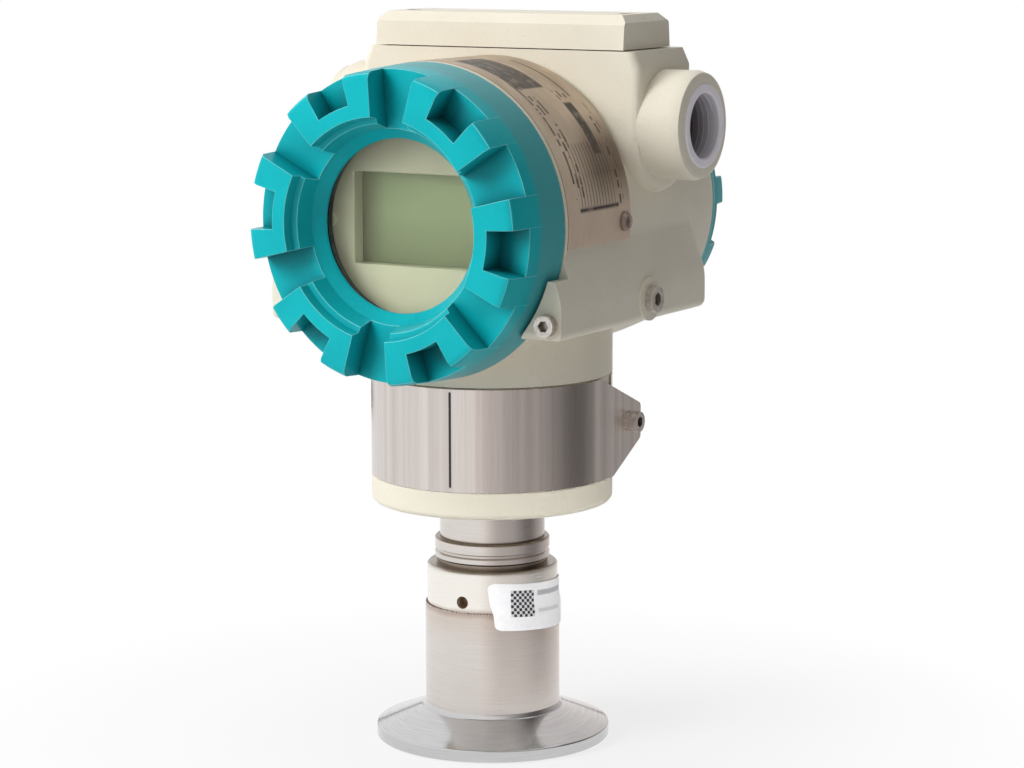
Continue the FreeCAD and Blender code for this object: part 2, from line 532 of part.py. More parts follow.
notch_round(front_cap, "XZ_Plane", [("pocket_in", "cap_front + 5"), ("pocket_in", "cap_floor")] + notch_tail,
            "pocket_deg", 6)
notch_round(front_cap, "YZ_Plane", [("cap_ring_r - 6", "cap_front + 5"), ("cap_ring_r - 6", "cap_floor")]
            + notch_tail, "slot_deg", 6)
keep(front_cap, "front_cap")
keep(rod("window_glass", "-y", "glass_r", "glass_t", y="glass_t - window_y", z=axis_z), "window_glass")
retainer = rod("retainer_out", "-y", "glass_r + 0.3", "1.9", y="glass_t + 1.9 - window_y", z=axis_z)
retainer_hole = rod("retainer_hole", "-y", "glass_r - 2", "8", y="glass_t + 5 - window_y", z=axis_z)
keep(cut("glass_retainer", retainer, [retainer_hole]), "glass_retainer")
keep(hoop("front_cap_seal", "y", "front_thread_r - 1.05", "0.75", y="1.85 - flange_front", z=axis_z),
     "front_cap_seal")

# Rear cap, blind.
rear_back = "(rear_end + cap_gap)"
rear_cap = spun("rear_cap", [
    ("rear_cap_r", rear_back), ("rear_cap_r - 0.2", "rear_cap_floor - 0.8"),
    ("rear_cap_r - 0.9", "rear_cap_front - 1.6"), ("rear_cap_r - 1.5", "rear_cap_front - 0.5"),
    ("rear_cap_r - 2.6", "rear_cap_front"), ("rear_cap_r - 11", "rear_cap_front"),
    ("rear_cap_r - 12", "rear_cap_front - 3.6"), ("0", "rear_cap_front - 3.6"),
    ("0", "rear_cap_front - 7"), ("rear_thread_r - 4.2", "rear_cap_front - 7"),
    ("rear_thread_r - 4.2", "rear_end - 9"), ("rear_thread_r - 0.4", "rear_end - 9"),
    ("rear_thread_r - 0.4", "rear_end - 3"), ("rear_thread_r - 2.1", "rear_end - 3"),
    ("rear_thread_r - 2.1", "rear_end - 0.7"), ("rear_thread_r - 0.4", "rear_end - 0.7"),
    ("rear_thread_r - 0.4", rear_back)], z=axis_z, way="y", spin=11)
rear_tail = [("rear_cap_r - 1.4", "rear_cap_floor"), ("rear_cap_r + 1", "rear_cap_floor - 1.2"),
             ("rear_cap_r + 10", "rear_cap_floor - 1.2"), ("rear_cap_r + 10", "rear_cap_front + 5")]
notch_round(rear_cap, "XZ_Plane", [("rear_cap_r - 7", "rear_cap_front + 5"),
                                   ("rear_cap_r - 7", "rear_cap_floor")] + rear_tail, "pocket_deg", 6)
notch_round(rear_cap, "YZ_Plane", [("rear_cap_r - 14", "rear_cap_front + 5"),
                                   ("rear_cap_r - 14", "rear_cap_front - 3.5"),
                                   ("rear_cap_r - 9", "rear_cap_front - 3.5"),
                                   ("rear_cap_r - 9", "rear_cap_floor")] + rear_tail, "slot_deg", 6)
keep(rear_cap, "rear_cap")
keep(hoop("rear_cap_seal", "y", "rear_thread_r - 1.05", "0.75", y="rear_end - 1.85", z=axis_z), "rear_cap_seal")

# Hinged cover over the keys.
flap_z = "(swivel_z + head_rise + block_rise + 0.3)"
flap = raised("flap_body", "YZ_Plane", [
    ("flap_front", "0"), ("flap_back", "0"), ("flap_back - 0.6", "flap_high - 2.6"),
    ("flap_back - 3.2", "flap_high"), ("flap_front + 3.2", "flap_high"),
    ("flap_front + 0.6", "flap_high - 2.6")], "2 * flap_half", x="-flap_half", z=flap_z)
soften(flap, "Chamfer", "2", lambda edge: runs(edge, north) and edge.BoundBox.ZMin > 4
       and abs(abs(edge.BoundBox.Center.x - sheet.flap_half) - sheet.flap_half) < 0.01)
flap_well = brick("flap_well", "2 * flap_half - 4 * flap_wall", "flap_back - flap_front - 3 * flap_wall",
                  "flap_high - flap_wall", "2 * flap_wall - flap_half", "flap_front + 1.5 * flap_wall", flap_z)
knuckles = []
bridges = []
for side, start in (("left", "-28"), ("right", "10")):
    knuckles.append(rod("knuckle_" + side, "x", "knuckle_r", "18", start, "hinge_y", hinge_z))
    bridges.append(brick("bridge_" + side, "18", "hinge_y - flap_back + 1", "knuckle_r", start, "flap_back - 1",
                         hinge_z))
flap_whole = fuse("flap_whole", [flap] + knuckles + bridges)
pin_room = rod("pin_room", "x", "1.2", "80", "-40", "hinge_y", hinge_z)
flap_cuts = [flap_well, pin_room]
posts = []
for side in (-1, 1):
    place = f"({side}) * (flap_half - 5)"
    flap_cuts.append(rod(f"screw_way_{side + 1}", "z", "1.6", "30", place, "key_y", flap_z + " - 5"))
    flap_cuts.append(rod(f"screw_sink_{side + 1}", "z", "3", "5", place, "key_y", flap_z + " + flap_high - 2"))
    posts.append(rod(f"screw_post_{side + 1}", "z", "4.2", "flap_high - 1", place, "key_y", flap_z))
carved_flap = cut("flap_carved", flap_whole, [flap_well])
keep(cut("key_cover", fuse("flap_posted", [carved_flap] + posts), flap_cuts[1:]), "key_cover")
for side in (-1, 1):
    node = "key_cover_screw_right" if side > 0 else "key_cover_screw_left"
    place = f"({side}) * (flap_half - 5)"
    screw = fuse(node + "_solid", [
        rod(node + "_head", "z", "2.8", "1.6", place, "key_y", flap_z + " + flap_high - 2"),
        rod(node + "_shank", "z", "1.3", "flap_high - 1.2", place, "key_y", flap_z + " - 0.2")])
    slot = brick(node + "_slot", "4.8", "0.9", "1", place + " - 2.4", "key_y - 0.45",
                 flap_z + " + flap_high - 1.2")
    keep(cut(node, screw, [slot]), node)

# Three spring-loaded keys.
for index, node in ((-1, "key_mode"), (0, "key_up"), (1, "key_down")):
    place = f"({index}) * key_pitch"
    keep(spun(node, [("0", "-10"), ("2.4", "-10"), ("2.4", "-3"), ("3.8", "-3"), ("3.8", "-1.2"),
                     ("3.2", "-0.7"), ("0", "-0.7")], place, "key_y", block_z), node)

doc.recompute()
for thing in doc.Objects:
    if "Invalid" in thing.State or "Error" in thing.State:
        raise RuntimeError(f"{thing.Name} did not build")
for thing in finished:
    shape = thing.Shape
    if shape.isNull() or not shape.isValid():
        raise RuntimeError(f"{thing.Label} has a bad shape")
    shape.exportStep(f"parts/{thing.Label}.step")
    print(thing.Label, len(shape.Solids), round(shape.Volume), shape.BoundBox)
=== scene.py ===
import bmesh
import bpy
import json
import math
from mathutils import Matrix, Vector

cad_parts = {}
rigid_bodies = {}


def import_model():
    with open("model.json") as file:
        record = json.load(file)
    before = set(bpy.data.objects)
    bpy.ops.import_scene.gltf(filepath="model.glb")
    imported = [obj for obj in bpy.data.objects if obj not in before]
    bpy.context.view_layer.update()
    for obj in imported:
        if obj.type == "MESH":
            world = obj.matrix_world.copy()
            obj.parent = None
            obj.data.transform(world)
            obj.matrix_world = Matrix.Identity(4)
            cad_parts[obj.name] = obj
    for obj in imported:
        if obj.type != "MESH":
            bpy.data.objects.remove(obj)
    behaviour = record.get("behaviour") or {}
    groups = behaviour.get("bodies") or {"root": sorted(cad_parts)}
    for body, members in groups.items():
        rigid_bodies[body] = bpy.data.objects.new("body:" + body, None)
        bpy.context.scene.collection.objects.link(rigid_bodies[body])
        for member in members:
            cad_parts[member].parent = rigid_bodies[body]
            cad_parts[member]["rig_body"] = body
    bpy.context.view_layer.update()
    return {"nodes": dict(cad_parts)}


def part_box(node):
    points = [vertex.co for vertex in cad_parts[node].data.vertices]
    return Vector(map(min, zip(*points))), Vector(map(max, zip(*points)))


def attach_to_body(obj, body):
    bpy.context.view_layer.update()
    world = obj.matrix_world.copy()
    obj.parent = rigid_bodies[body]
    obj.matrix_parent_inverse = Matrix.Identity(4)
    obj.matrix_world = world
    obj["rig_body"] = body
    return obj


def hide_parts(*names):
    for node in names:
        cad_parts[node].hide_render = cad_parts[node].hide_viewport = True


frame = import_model()
nodes = frame["nodes"]
scene = bpy.context.scene
scene.view_settings.view_transform = "Standard"

mm = 0.001
capLow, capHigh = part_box("front_cap")
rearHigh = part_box("rear_cap")[1]
axisZ = (capLow.z + capHigh.z) / 2        # height of the axis that both caps turn on
print("frame loaded:", len(nodes), "nodes, cap axis at", round(axisZ, 4))


# Small helpers for shader trees
def screenColour(red, green, blue):
    shares = [value / 255 for value in (red, green, blue)]
    return tuple(s / 12.92 if s <= 0.04045 else ((s + 0.055) / 1.055) ** 2.4 for s in shares) + (1.0,)


def feed(tree, socket, value):                  # a link, a plain value, or a screen colour from 0 to 255
    if isinstance(value, bpy.types.NodeSocket):
        tree.links.new(value, socket)
    elif socket.type == "RGBA" and len(value) == 3:
        socket.default_value = screenColour(*value)
    else:
        socket.default_value = value


def addNode(tree, kind, settings=None, sockets=None):
    made = tree.nodes.new(kind)
    for name, value in (settings or {}).items():
        setattr(made, name, value)
    for name, value in (sockets or {}).items():
        feed(tree, made.inputs[name], value)
    return made


def startMaterial(name):
    material = bpy.data.materials.new(name)
    material.use_nodes = True
    tree = material.node_tree
    shader = tree.nodes["Principled BSDF"]
    point = tree.nodes.new("ShaderNodeTexCoord").outputs["Object"]
    return material, tree, shader, point


def setSurface(tree, shader, tint, rough, metal=0.0):
    feed(tree, shader.inputs["Base Color"], tint)
    feed(tree, shader.inputs["Roughness"], rough)
    feed(tree, shader.inputs["Metallic"], metal)


def calc(tree, operation, first, second=None):
    made = addNode(tree, "ShaderNodeMath", {"operation": operation}, {0: first})
    if second is not None:
        feed(tree, made.inputs[1], second)
    return made.outputs[0]


def times(tree, first, second):
    return calc(tree, "MULTIPLY", first, second)


def reachOf(tree, first, second):               # how far two offsets reach together
    squares = [times(tree, side, side) for side in (first, second)]
    return calc(tree, "SQRT", calc(tree, "ADD", *squares))


def noiseAt(tree, point, scale, detail=2.0, stretch=None):
    if stretch:
        point = addNode(tree, "ShaderNodeMapping", {}, {"Vector": point, "Scale": stretch}).outputs[0]
    made = addNode(tree, "ShaderNodeTexNoise", {}, {"Vector": point, "Scale": scale, "Detail": detail})
    return made.outputs["Fac"]


def spread(tree, value, low, high, start=0.3, end=0.7):     # start to end becomes low to high
    made = addNode(tree, "ShaderNodeMapRange", {"clamp": True}, {
        "Value": value, "From Min": start, "From Max": end, "To Min": low, "To Max": high})
    return made.outputs[0]


def between(tree, value, span, soft):           # 1 inside the span, fading over soft at both ends
    rise = spread(tree, value, 0.0, 1.0, span[0] - soft, span[0] + soft)
    fall = spread(tree, value, 1.0, 0.0, span[1] - soft, span[1] + soft)
    return times(tree, rise, fall)


def field(tree, across, up, acrossSpan, upSpan, soft):
    return times(tree, between(tree, across, acrossSpan, soft[0]), between(tree, up, upSpan, soft[1]))


def mixColour(tree, factor, first, second):
    made = addNode(tree, "ShaderNodeMix", {"data_type": "RGBA"})
    feed(tree, made.inputs[0], factor)
    feed(tree, made.inputs[6], first)
    feed(tree, made.inputs[7], second)
    return made.outputs[2]


def twoTone(tree, noise, look):
    return mixColour(tree, spread(tree, noise, 0, 1), look["colour"], look["second"])


def addBump(tree, shader, height, strength, depth):
    bump = addNode(tree, "ShaderNodeBump", {}, {"Height": height, "Strength": strength, "Distance": depth})
    tree.links.new(bump.outputs["Normal"], shader.inputs["Normal"])


def splitPoint(tree, point):
    return addNode(tree, "ShaderNodeSeparateXYZ", {}, {"Vector": point}).outputs


def angleRoundStem(tree, point):                # degrees round the upright axis, 0 in front, 90 at +X
    x, y, z = splitPoint(tree, point)
    turn = calc(tree, "ARCTAN2", x, times(tree, y, -1.0))
    return calc(tree, "DEGREES", turn), z


def angleRoundCap(tree, point):                 # degrees round the cap axis, 0 on top, 90 at +X
    x, y, z = splitPoint(tree, point)
    turn = calc(tree, "ARCTAN2", x, calc(tree, "SUBTRACT", z, axisZ))
    return calc(tree, "DEGREES", turn), y


def hollowShade(tree, reach, share, closed=0.35, clear=0.9):     # painted shade: its share in a hollow, 0 on a clear face
    near = {"samples": 8, "only_local": True}
    seen = addNode(tree, "ShaderNodeAmbientOcclusion", near, {"Distance": reach})
    return spread(tree, seen.outputs["AO"], share, 0.0, closed, clear)


# Cast and powder-coated paint
def paintFinish(name, look):
    material, tree, shader, point = startMaterial(name)
    patch = noiseAt(tree, point, look["patchScale"], 4)
    speck = noiseAt(tree, point, look["speckScale"], 1)
    tint = twoTone(tree, patch, look)
    speck = spread(tree, speck, 0, look["speckShare"], *look["speckRare"])
    tint = mixColour(tree, speck, tint, look["speck"])
    for span in look.get("skirtSpans", []):     # painted sheen: the plain skirts are greyed as a grazing reflection greys them
        sheen = between(tree, splitPoint(tree, point)[1], span, look["skirtSoft"])
        tint = mixColour(tree, times(tree, sheen, look["skirtShare"]), tint, look["skirtSheen"])
    if "recessShade" in look:                        # painted shade where the casting is hollow; paler edges, part wear and part painted highlight
        tint = mixColour(tree, hollowShade(tree, look["recessReach"], *look["recessShare"]), tint, look["recessShade"])
        wearAndHighlight = addNode(tree, "ShaderNodeAttribute", {"attribute_name": "wearAndHighlight"}).outputs["Fac"]
        wearAndHighlight = times(tree, wearAndHighlight, spread(tree, patch, *look["wearAndHighlightShare"]))
        tint = mixColour(tree, wearAndHighlight, tint, look["wearAndHighlightColour"])
    setSurface(tree, shader, tint, spread(tree, patch, *look["rough"]))
    feed(tree, shader.inputs["Specular IOR Level"], look["gloss"])
    peel = noiseAt(tree, point, look["peelScale"], 2)
    addBump(tree, shader, peel, look["peelStrength"], look["peelDepth"])
    return material


beigeLook = {
    "colour": (231, 225, 208), "second": (225, 217, 199), "patchScale": 38,
    "speck": (200, 190, 168), "speckShare": 0.25, "speckScale": 1500, "speckRare": (0.6, 0.78),
    "rough": (0.36, 0.46), "gloss": 0.4,
    "peelScale": 520, "peelStrength": 0.22, "peelDepth": 0.12 * mm,
}
tealLook = {
    "colour": (10, 181, 189), "second": (8, 168, 177), "patchScale": 60,
    "speck": (40, 190, 196), "speckShare": 0.3, "speckScale": 1300, "speckRare": (0.6, 0.78),
    "rough": (0.28, 0.38), "gloss": 0.15,
    "peelScale": 480, "peelStrength": 0.25, "peelDepth": 0.12 * mm,
    # painted shade in the recesses
    "recessShade": (0, 66, 74), "recessReach": 9 * mm, "recessShare": (0.9, 0.3, 0.92),      # share, closed, clear
    # paler edges: part wear, part painted highlight
    "wearAndHighlightColour": (150, 228, 230), "wearAndHighlightShare": (0.4, 0.85),
    # painted sheen greying the plain skirts
    "skirtSheen": (74, 158, 164), "skirtShare": 0.8, "skirtSoft": 1.2 * mm,
    "skirtSpans": [(-44.5 * mm, -32.5 * mm), (rearHigh.y - 9.5 * mm, rearHigh.y - 5.8 * mm)],
}
beigePaint = paintFinish("beige_paint", beigeLook)
tealPaint = paintFinish("teal_paint", tealLook)


# Metals
def metalFinish(name, look):
    material, tree, shader, point = startMaterial(name)
    grain = noiseAt(tree, point, look["grainScale"], 3)
    cloud = noiseAt(tree, point, look["cloudScale"], 3)
    tint = twoTone(tree, cloud, look)
    tint = mixColour(tree, spread(tree, grain, 0, look["grainShare"], *look["grainRare"]), tint, look["dark"])
    # painted shade in the hollows
    tint = mixColour(tree, hollowShade(tree, look["hollowReach"], *look["hollowShare"]), tint, look["hollowShade"])
    setSurface(tree, shader, tint, spread(tree, grain, *look["rough"]), 1.0)
    addBump(tree, shader, grain, look["grainStrength"], look["grainDepth"])
    return material


def turnedFinish(name, look):                   # lathe rings, heat tint round the weld
    material, tree, shader, point = startMaterial(name)
    height = splitPoint(tree, point)[2]
    rings = noiseAt(tree, point, look["ringScale"], 3, look["ringStretch"])
    cloud = noiseAt(tree, point, look["cloudScale"], 3)
    wander = calc(tree, "ADD", height, spread(tree, cloud, -look["wander"], look["wander"]))
    tint = twoTone(tree, cloud, look)
    tint = mixColour(tree, spread(tree, rings, 0, look["ringShare"], *look["ringRare"]), tint, look["dark"])
    # a paler, less metallic band on the adapter: part brushed finish, part painted reflection
    bright = between(tree, height, look["brightSpan"], look["brightSoft"])
    tint = mixColour(tree, bright, tint, look["bright"])
    # painted shade in the grooves
    for span in look["grooveSpans"]:
        grooveShade = times(tree, between(tree, height, span, look["grooveSoft"]), look["grooveShare"])
        tint = mixColour(tree, grooveShade, tint, look["grooveShade"])
    blush = spread(tree, wander, 0.0, look["blushShare"], *look["blushSpan"])
    blush = times(tree, blush, calc(tree, "LESS_THAN", height, look["weldZ"]))
    tint = mixColour(tree, blush, tint, look["blush"])
    warm = between(tree, wander, look["heatSpan"], look["heatSoft"])
    tint = mixColour(tree, times(tree, warm, look["heatShare"]), tint, look["heat"])
    # painted shade in the hollows, in the grooves' colour
    tint = mixColour(tree, hollowShade(tree, look["hollowReach"], look["hollowShare"]), tint, look["grooveShade"])
    low = spread(tree, height, 1.0, 0.0, *look["polishSpan"])
    polish = mixColour(tree, spread(tree, rings, 0, 1), look["polish"], look["polishSecond"])
    tint = mixColour(tree, low, tint, polish)
    rough = calc(tree, "SUBTRACT", spread(tree, rings, *look["rough"]), times(tree, low, look["polishGain"]))
    setSurface(tree, shader, tint, rough, spread(tree, bright, 1.0, look["brightMetal"], 0.0, 1.0))
    addBump(tree, shader, rings, look["ringStrength"], look["ringDepth"])
    return material


def bandFinish(name, look):                     # rolled sheet: upright streaks and one dark scribed line
    material, tree, shader, point = startMaterial(name)
    angle, height = angleRoundStem(tree, point)
    streak = addNode(tree, "ShaderNodeTexNoise", {"noise_dimensions": "1D"}, {
        "W": angle, "Scale": look["streakScale"], "Detail": 4.0}).outputs["Fac"]
    wrapped = addNode(tree, "ShaderNodeCombineXYZ", {}, {"X": angle, "Z": height}).outputs[0]
    fine = noiseAt(tree, wrapped, look["fineScale"], 2, look["fineStretch"])
    tint = mixColour(tree, spread(tree, streak, 0, 1, *look["streakRange"]), look["colour"], look["second"])
    tint = mixColour(tree, spread(tree, fine, 0, look["fineShare"], *look["fineRare"]), tint, look["dark"])
    line = field(tree, angle, height, look["lineAngles"], look["lineHeights"], look["lineSoft"])
    tint = mixColour(tree, line, tint, look["line"])
    metal = calc(tree, "SUBTRACT", 1.0, line)
    setSurface(tree, shader, tint, spread(tree, streak, *look["rough"]), metal)
    addBump(tree, shader, fine, look["fineStrength"], look["fineDepth"])
    return material


bandLow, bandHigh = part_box("tag_band")
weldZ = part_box("process_adapter")[0].z
turnedLook = {
    "colour": (222, 216, 211), "second": (212, 205, 200), "cloudScale": 45,
    "dark": (190, 181, 175), "ringScale": 5200, "ringStretch": (0.02, 0.02, 1.0),
    "ringShare": 0.2, "ringRare": (0.4, 0.75), "ringStrength": 0.12, "ringDepth": 0.03 * mm,
    "rough": (0.2, 0.28), "weldZ": weldZ, "wander": 1.2 * mm,
    # paler band above the weld: part brushed finish, part painted reflection
    "bright": (238, 234, 227), "brightSpan": (weldZ + 0.8 * mm, weldZ + 10.8 * mm),
    "brightSoft": 0.4 * mm, "brightMetal": 0.75,
    # painted shade in the grooves and hollows
    "grooveShade": (124, 108, 92), "grooveShare": 0.8, "grooveSoft": 0.2 * mm,
    "grooveSpans": [(weldZ + 11.4 * mm, weldZ + 12.9 * mm), (weldZ + 18.4 * mm, weldZ + 19.2 * mm)],
    "hollowReach": 4 * mm, "hollowShare": 0.6,
    "heat": (150, 118, 98), "heatShare": 0.55,
    "heatSpan": (weldZ - 0.8 * mm, weldZ + 0.6 * mm), "heatSoft": 0.8 * mm,
    "blush": (206, 192, 178), "blushShare": 0.6, "blushSpan": (weldZ - 9 * mm, weldZ - 1 * mm),
    "polish": (208, 208, 208), "polishSecond": (198, 197, 198),
    "polishSpan": (8.8 * mm, 10 * mm), "polishGain": 0.1,
}
bandLook = {
    "colour": (220, 213, 208), "second": (204, 195, 190),
    "streakScale": 0.16, "streakRange": (0.35, 0.65), "rough": (0.22, 0.3),
    "dark": (182, 172, 168), "fineScale": 2.2, "fineStretch": (1.0, 1.0, 30.0),
    "fineShare": 0.22, "fineRare": (0.45, 0.7), "fineStrength": 0.1, "fineDepth": 0.02 * mm,
    "line": (28, 24, 26), "lineAngles": (10.5, 11.7), "lineSoft": (0.12, 0.2 * mm),
    "lineHeights": (bandLow.z + 1.2 * mm, bandHigh.z - 0.8 * mm),
}
screwLook = {
    "colour": (222, 216, 210), "second": (196, 188, 181), "cloudScale": 260,
    "dark": (98, 86, 78), "grainScale": 900, "grainShare": 0.35, "grainRare": (0.45, 0.8),
    "grainStrength": 0.2, "grainDepth": 0.05 * mm, "rough": (0.24, 0.44),
    # painted shade in the sockets and hollows
    "hollowShade": (44, 36, 32), "hollowReach": 2 * mm, "hollowShare": (0.95, 0.3, 0.75),
}
diaphragmLook = dict(screwLook, colour=(205, 202, 198), second=(196, 192, 188),
                     grainScale=240, grainShare=0.15, rough=(0.16, 0.24), grainStrength=0.05)
plugLook = dict(screwLook, colour=(128, 98, 76), second=(108, 80, 62), dark=(60, 42, 34))
# a darker copy of the screw steel for the drive screws: painted shade
driveShadedLook = dict(screwLook, colour=(176, 160, 152), second=(146, 130, 122))
brassLook = dict(screwLook, colour=(196, 158, 88), second=(180, 140, 72), dark=(110, 80, 40))
turnedSteel = turnedFinish("turned_steel", turnedLook)
bandSteel = bandFinish("band_steel", bandLook)
screwSteel = metalFinish("screw_steel", screwLook)
diaphragmSteel = metalFinish("diaphragm_steel", diaphragmLook)
driveShadedSteel = metalFinish("drive_steel_shaded", driveShadedLook)
brass = metalFinish("brass", brassLook)
plugSteel = metalFinish("plug_steel", plugLook)


# Nameplate: etched steel with plain dark fields, rules and rows of dashes
def nameplateFinish(name, look):
    material, tree, shader, point = startMaterial(name)
    angle, y = angleRoundCap(tree, point)
    angle = calc(tree, "ABSOLUTE", angle)       # both halves are alike
    cloud = noiseAt(tree, point, look["cloudScale"], 4)
    brush = noiseAt(tree, point, look["brushScale"], 2, look["brushStretch"])
    tint = twoTone(tree, cloud, look)
    tint = mixColour(tree, spread(tree, brush, 0, look["brushShare"], *look["brushRare"]), tint, look["dark"])
    pale = spread(tree, angle, 0.0, look["paleShare"], *look["paleAngles"])
    tint = mixColour(tree, pale, tint, look["pale"])
    # painted shade over the right and back of the plate
    plateShade = field(tree, angle, y, look["plateShadeAngles"], look["plateShadeDepths"], look["plateShadeSoft"])
    tint = mixColour(tree, times(tree, plateShade, look["plateShadeShare"]), tint, look["plateShade"])

    ruleWave = calc(tree, "FRACT", calc(tree, "DIVIDE", y, look["rulePitch"]))
    rules = field(tree, angle, y, look["ruleAngles"], look["ruleDepths"], look["printSoft"])
    rules = times(tree, calc(tree, "LESS_THAN", ruleWave, look["ruleShare"]), rules)
    ink = times(tree, rules, look["ruleInk"])
    for angles, depths in look["fields"]:
        ink = calc(tree, "MAXIMUM", ink, field(tree, angle, y, angles, depths, look["fieldSoft"]))
    rows = calc(tree, "DIVIDE", y, look["rowPitch"])
    dashes = addNode(tree, "ShaderNodeCombineXYZ", {}, {
        "X": angle, "Y": times(tree, calc(tree, "FLOOR", rows), look["rowJump"])}).outputs[0]
    marks = spread(tree, noiseAt(tree, dashes, look["markScale"], 1), 0, 1, *look["markRare"])
    marks = times(tree, marks, calc(tree, "LESS_THAN", calc(tree, "FRACT", rows), look["rowShare"]))
    for angles, depths in look["markFields"]:
        spot = times(tree, marks, field(tree, angle, y, angles, depths, look["printSoft"]))
        ink = calc(tree, "MAXIMUM", ink, times(tree, spot, look["markInk"]))
    wearAndHighlight = noiseAt(tree, point, look["wornScale"], 3)
    ink = times(tree, ink, spread(tree, wearAndHighlight, look["wornInk"], 1.0, *look["wornRange"]))

    tint = mixColour(tree, ink, tint, look["ink"])
    metal = spread(tree, ink, look["metal"], 0.0, 0.0, 1.0)
    setSurface(tree, shader, tint, spread(tree, brush, *look["rough"]), metal)
    addBump(tree, shader, ink, look["etchStrength"], look["etchDepth"])
    return material


nameplateLook = {
    "colour": (196, 176, 150), "second": (160, 138, 116), "cloudScale": 95,
    "dark": (116, 94, 76), "brushScale": 2400, "brushStretch": (0.04, 1.0, 0.04),
    "brushShare": 0.35, "brushRare": (0.45, 0.75), "metal": 0.22, "rough": (0.34, 0.5),
    "pale": (236, 216, 194), "paleShare": 0.6, "paleAngles": (28.0, 62.0),
    "plateShade": (76, 50, 32), "plateShadeShare": 0.8,       # painted shade, browner over the ruled part
    "plateShadeAngles": (55.0, 79.0), "plateShadeDepths": (-18.5 * mm, 6 * mm), "plateShadeSoft": (7.0, 6 * mm),
    "ink": (42, 25, 17), "etchStrength": 0.3, "etchDepth": -0.05 * mm,
    "wornScale": 420, "wornInk": 0.72, "wornRange": (0.35, 0.5),
    "fieldSoft": (0.5, 0.3 * mm), "printSoft": (0.4, 0.2 * mm),     # degrees from the top, then along Y
    "fields": [((6.0, 34.0), (-26.2 * mm, -12.5 * mm)), ((43.0, 65.0), (-11.2 * mm, -7.2 * mm)),
               ((83.6, 85.0), (-25.0 * mm, -4.5 * mm)), ((12.0, 40.0), (-5.2 * mm, -4.4 * mm))],
    "rulePitch": 1.6 * mm, "ruleShare": 0.34, "ruleInk": 0.6,
    "ruleAngles": (60.0, 83.6), "ruleDepths": (-25 * mm, -6 * mm),
    "rowPitch": 1.9 * mm, "rowShare": 0.5, "rowJump": 9.7,
    "markScale": 0.32, "markRare": (0.48, 0.52), "markInk": 0.85,
    "markFields": [((30.0, 80.0), (-27.5 * mm, -21.5 * mm)), ((44.0, 84.0), (-4.6 * mm, -1.6 * mm)),
                   ((36.0, 44.0), (-11 * mm, -6 * mm))],
}
nameplateSteel = nameplateFinish("nameplate_steel", nameplateLook)


# Paper label with a plain chequered block and two grey bars
def labelFinish(name, look):
    material, tree, shader, point = startMaterial(name)
    angle, height = angleRoundStem(tree, point)
    climb = math.tan(math.radians(look["askew"])) * look["radius"] * math.radians(1)     # for each degree
    tilted = calc(tree, "ADD", height, times(tree, angle, climb))
    fibre = noiseAt(tree, point, look["fibreScale"], 3)
    tint = twoTone(tree, fibre, look)
    across = calc(tree, "FLOOR", calc(tree, "DIVIDE", angle, look["cellTurn"]))
    along = calc(tree, "FLOOR", calc(tree, "DIVIDE", tilted, look["cellHigh"]))
    chequer = calc(tree, "MODULO", calc(tree, "ADD", across, along), 2.0)
    block = field(tree, angle, tilted, look["blockAngles"], look["blockHeights"], look["blockSoft"])
    block = times(tree, spread(tree, chequer, look["cellPale"], 1.0, 0.0, 1.0), block)
    tint = mixColour(tree, block, tint, look["ink"])
    for angles, heights, share in look["bars"]:
        bar = field(tree, angle, tilted, angles, heights, look["barSoft"])
        tint = mixColour(tree, times(tree, bar, share), tint, look["barInk"])
    setSurface(tree, shader, tint, spread(tree, fibre, *look["rough"]))
    addBump(tree, shader, fibre, look["fibreStrength"], look["fibreDepth"])
    return material


labelLook = {
    "colour": (251, 250, 251), "second": (245, 244, 246), "rough": (0.5, 0.62),
    "fibreScale": 900, "fibreStrength": 0.1, "fibreDepth": 0.05 * mm, "askew": 3.6, "radius": 18.9 * mm,
    "ink": (38, 36, 40), "cellTurn": 2.45, "cellHigh": 0.8 * mm, "cellPale": 0.3,
    "blockAngles": (46.55, 68.6), "blockHeights": (37.6 * mm, 44.8 * mm), "blockSoft": (0.05, 0.05 * mm),
    "barInk": (120, 120, 132), "barSoft": (0.6, 0.2 * mm),
    "bars": [((72.5, 112.0), (43.2 * mm, 44.6 * mm), 0.6), ((72.5, 104.0), (38.6 * mm, 39.6 * mm), 0.3)],
}
labelPaper = labelFinish("label_paper", labelLook)


# Plastics, rubber and boards
def plasticFinish(name, look):
    material, tree, shader, point = startMaterial(name)
    grain = noiseAt(tree, point, look["grainScale"], 3)
    cloud = noiseAt(tree, point, look["cloudScale"], 3)
    x, y, z = splitPoint(tree, point)
    tint = twoTone(tree, cloud, look)
    if "lowShading" in look:                     # painted light and shade: the colour turns towards the bottom
        tint = mixColour(tree, spread(tree, z, 1.0, 0.0, *look["lowSpan"]), tint, look["lowShading"])
    if "sideShade" in look:                    # painted shade towards the left
        tint = mixColour(tree, spread(tree, x, 1.0, 0.0, *look["sideSpan"]), tint, look["sideShade"])
    if "boreShade" in look:                    # painted shade: a bore along X gets darker with depth
        sides = [calc(tree, "SUBTRACT", place, middle) for place, middle in zip((y, z), look["boreMiddle"])]
        inside = spread(tree, reachOf(tree, *sides), 1.0, 0.0, *look["boreEdge"])
        deep = spread(tree, x, 1.0, 0.0, *look["boreSpan"])
        tint = mixColour(tree, times(tree, inside, deep), tint, look["boreShade"])
    setSurface(tree, shader, tint, spread(tree, grain, *look["rough"]))
    addBump(tree, shader, grain, look["grainStrength"], look["grainDepth"])
    return material


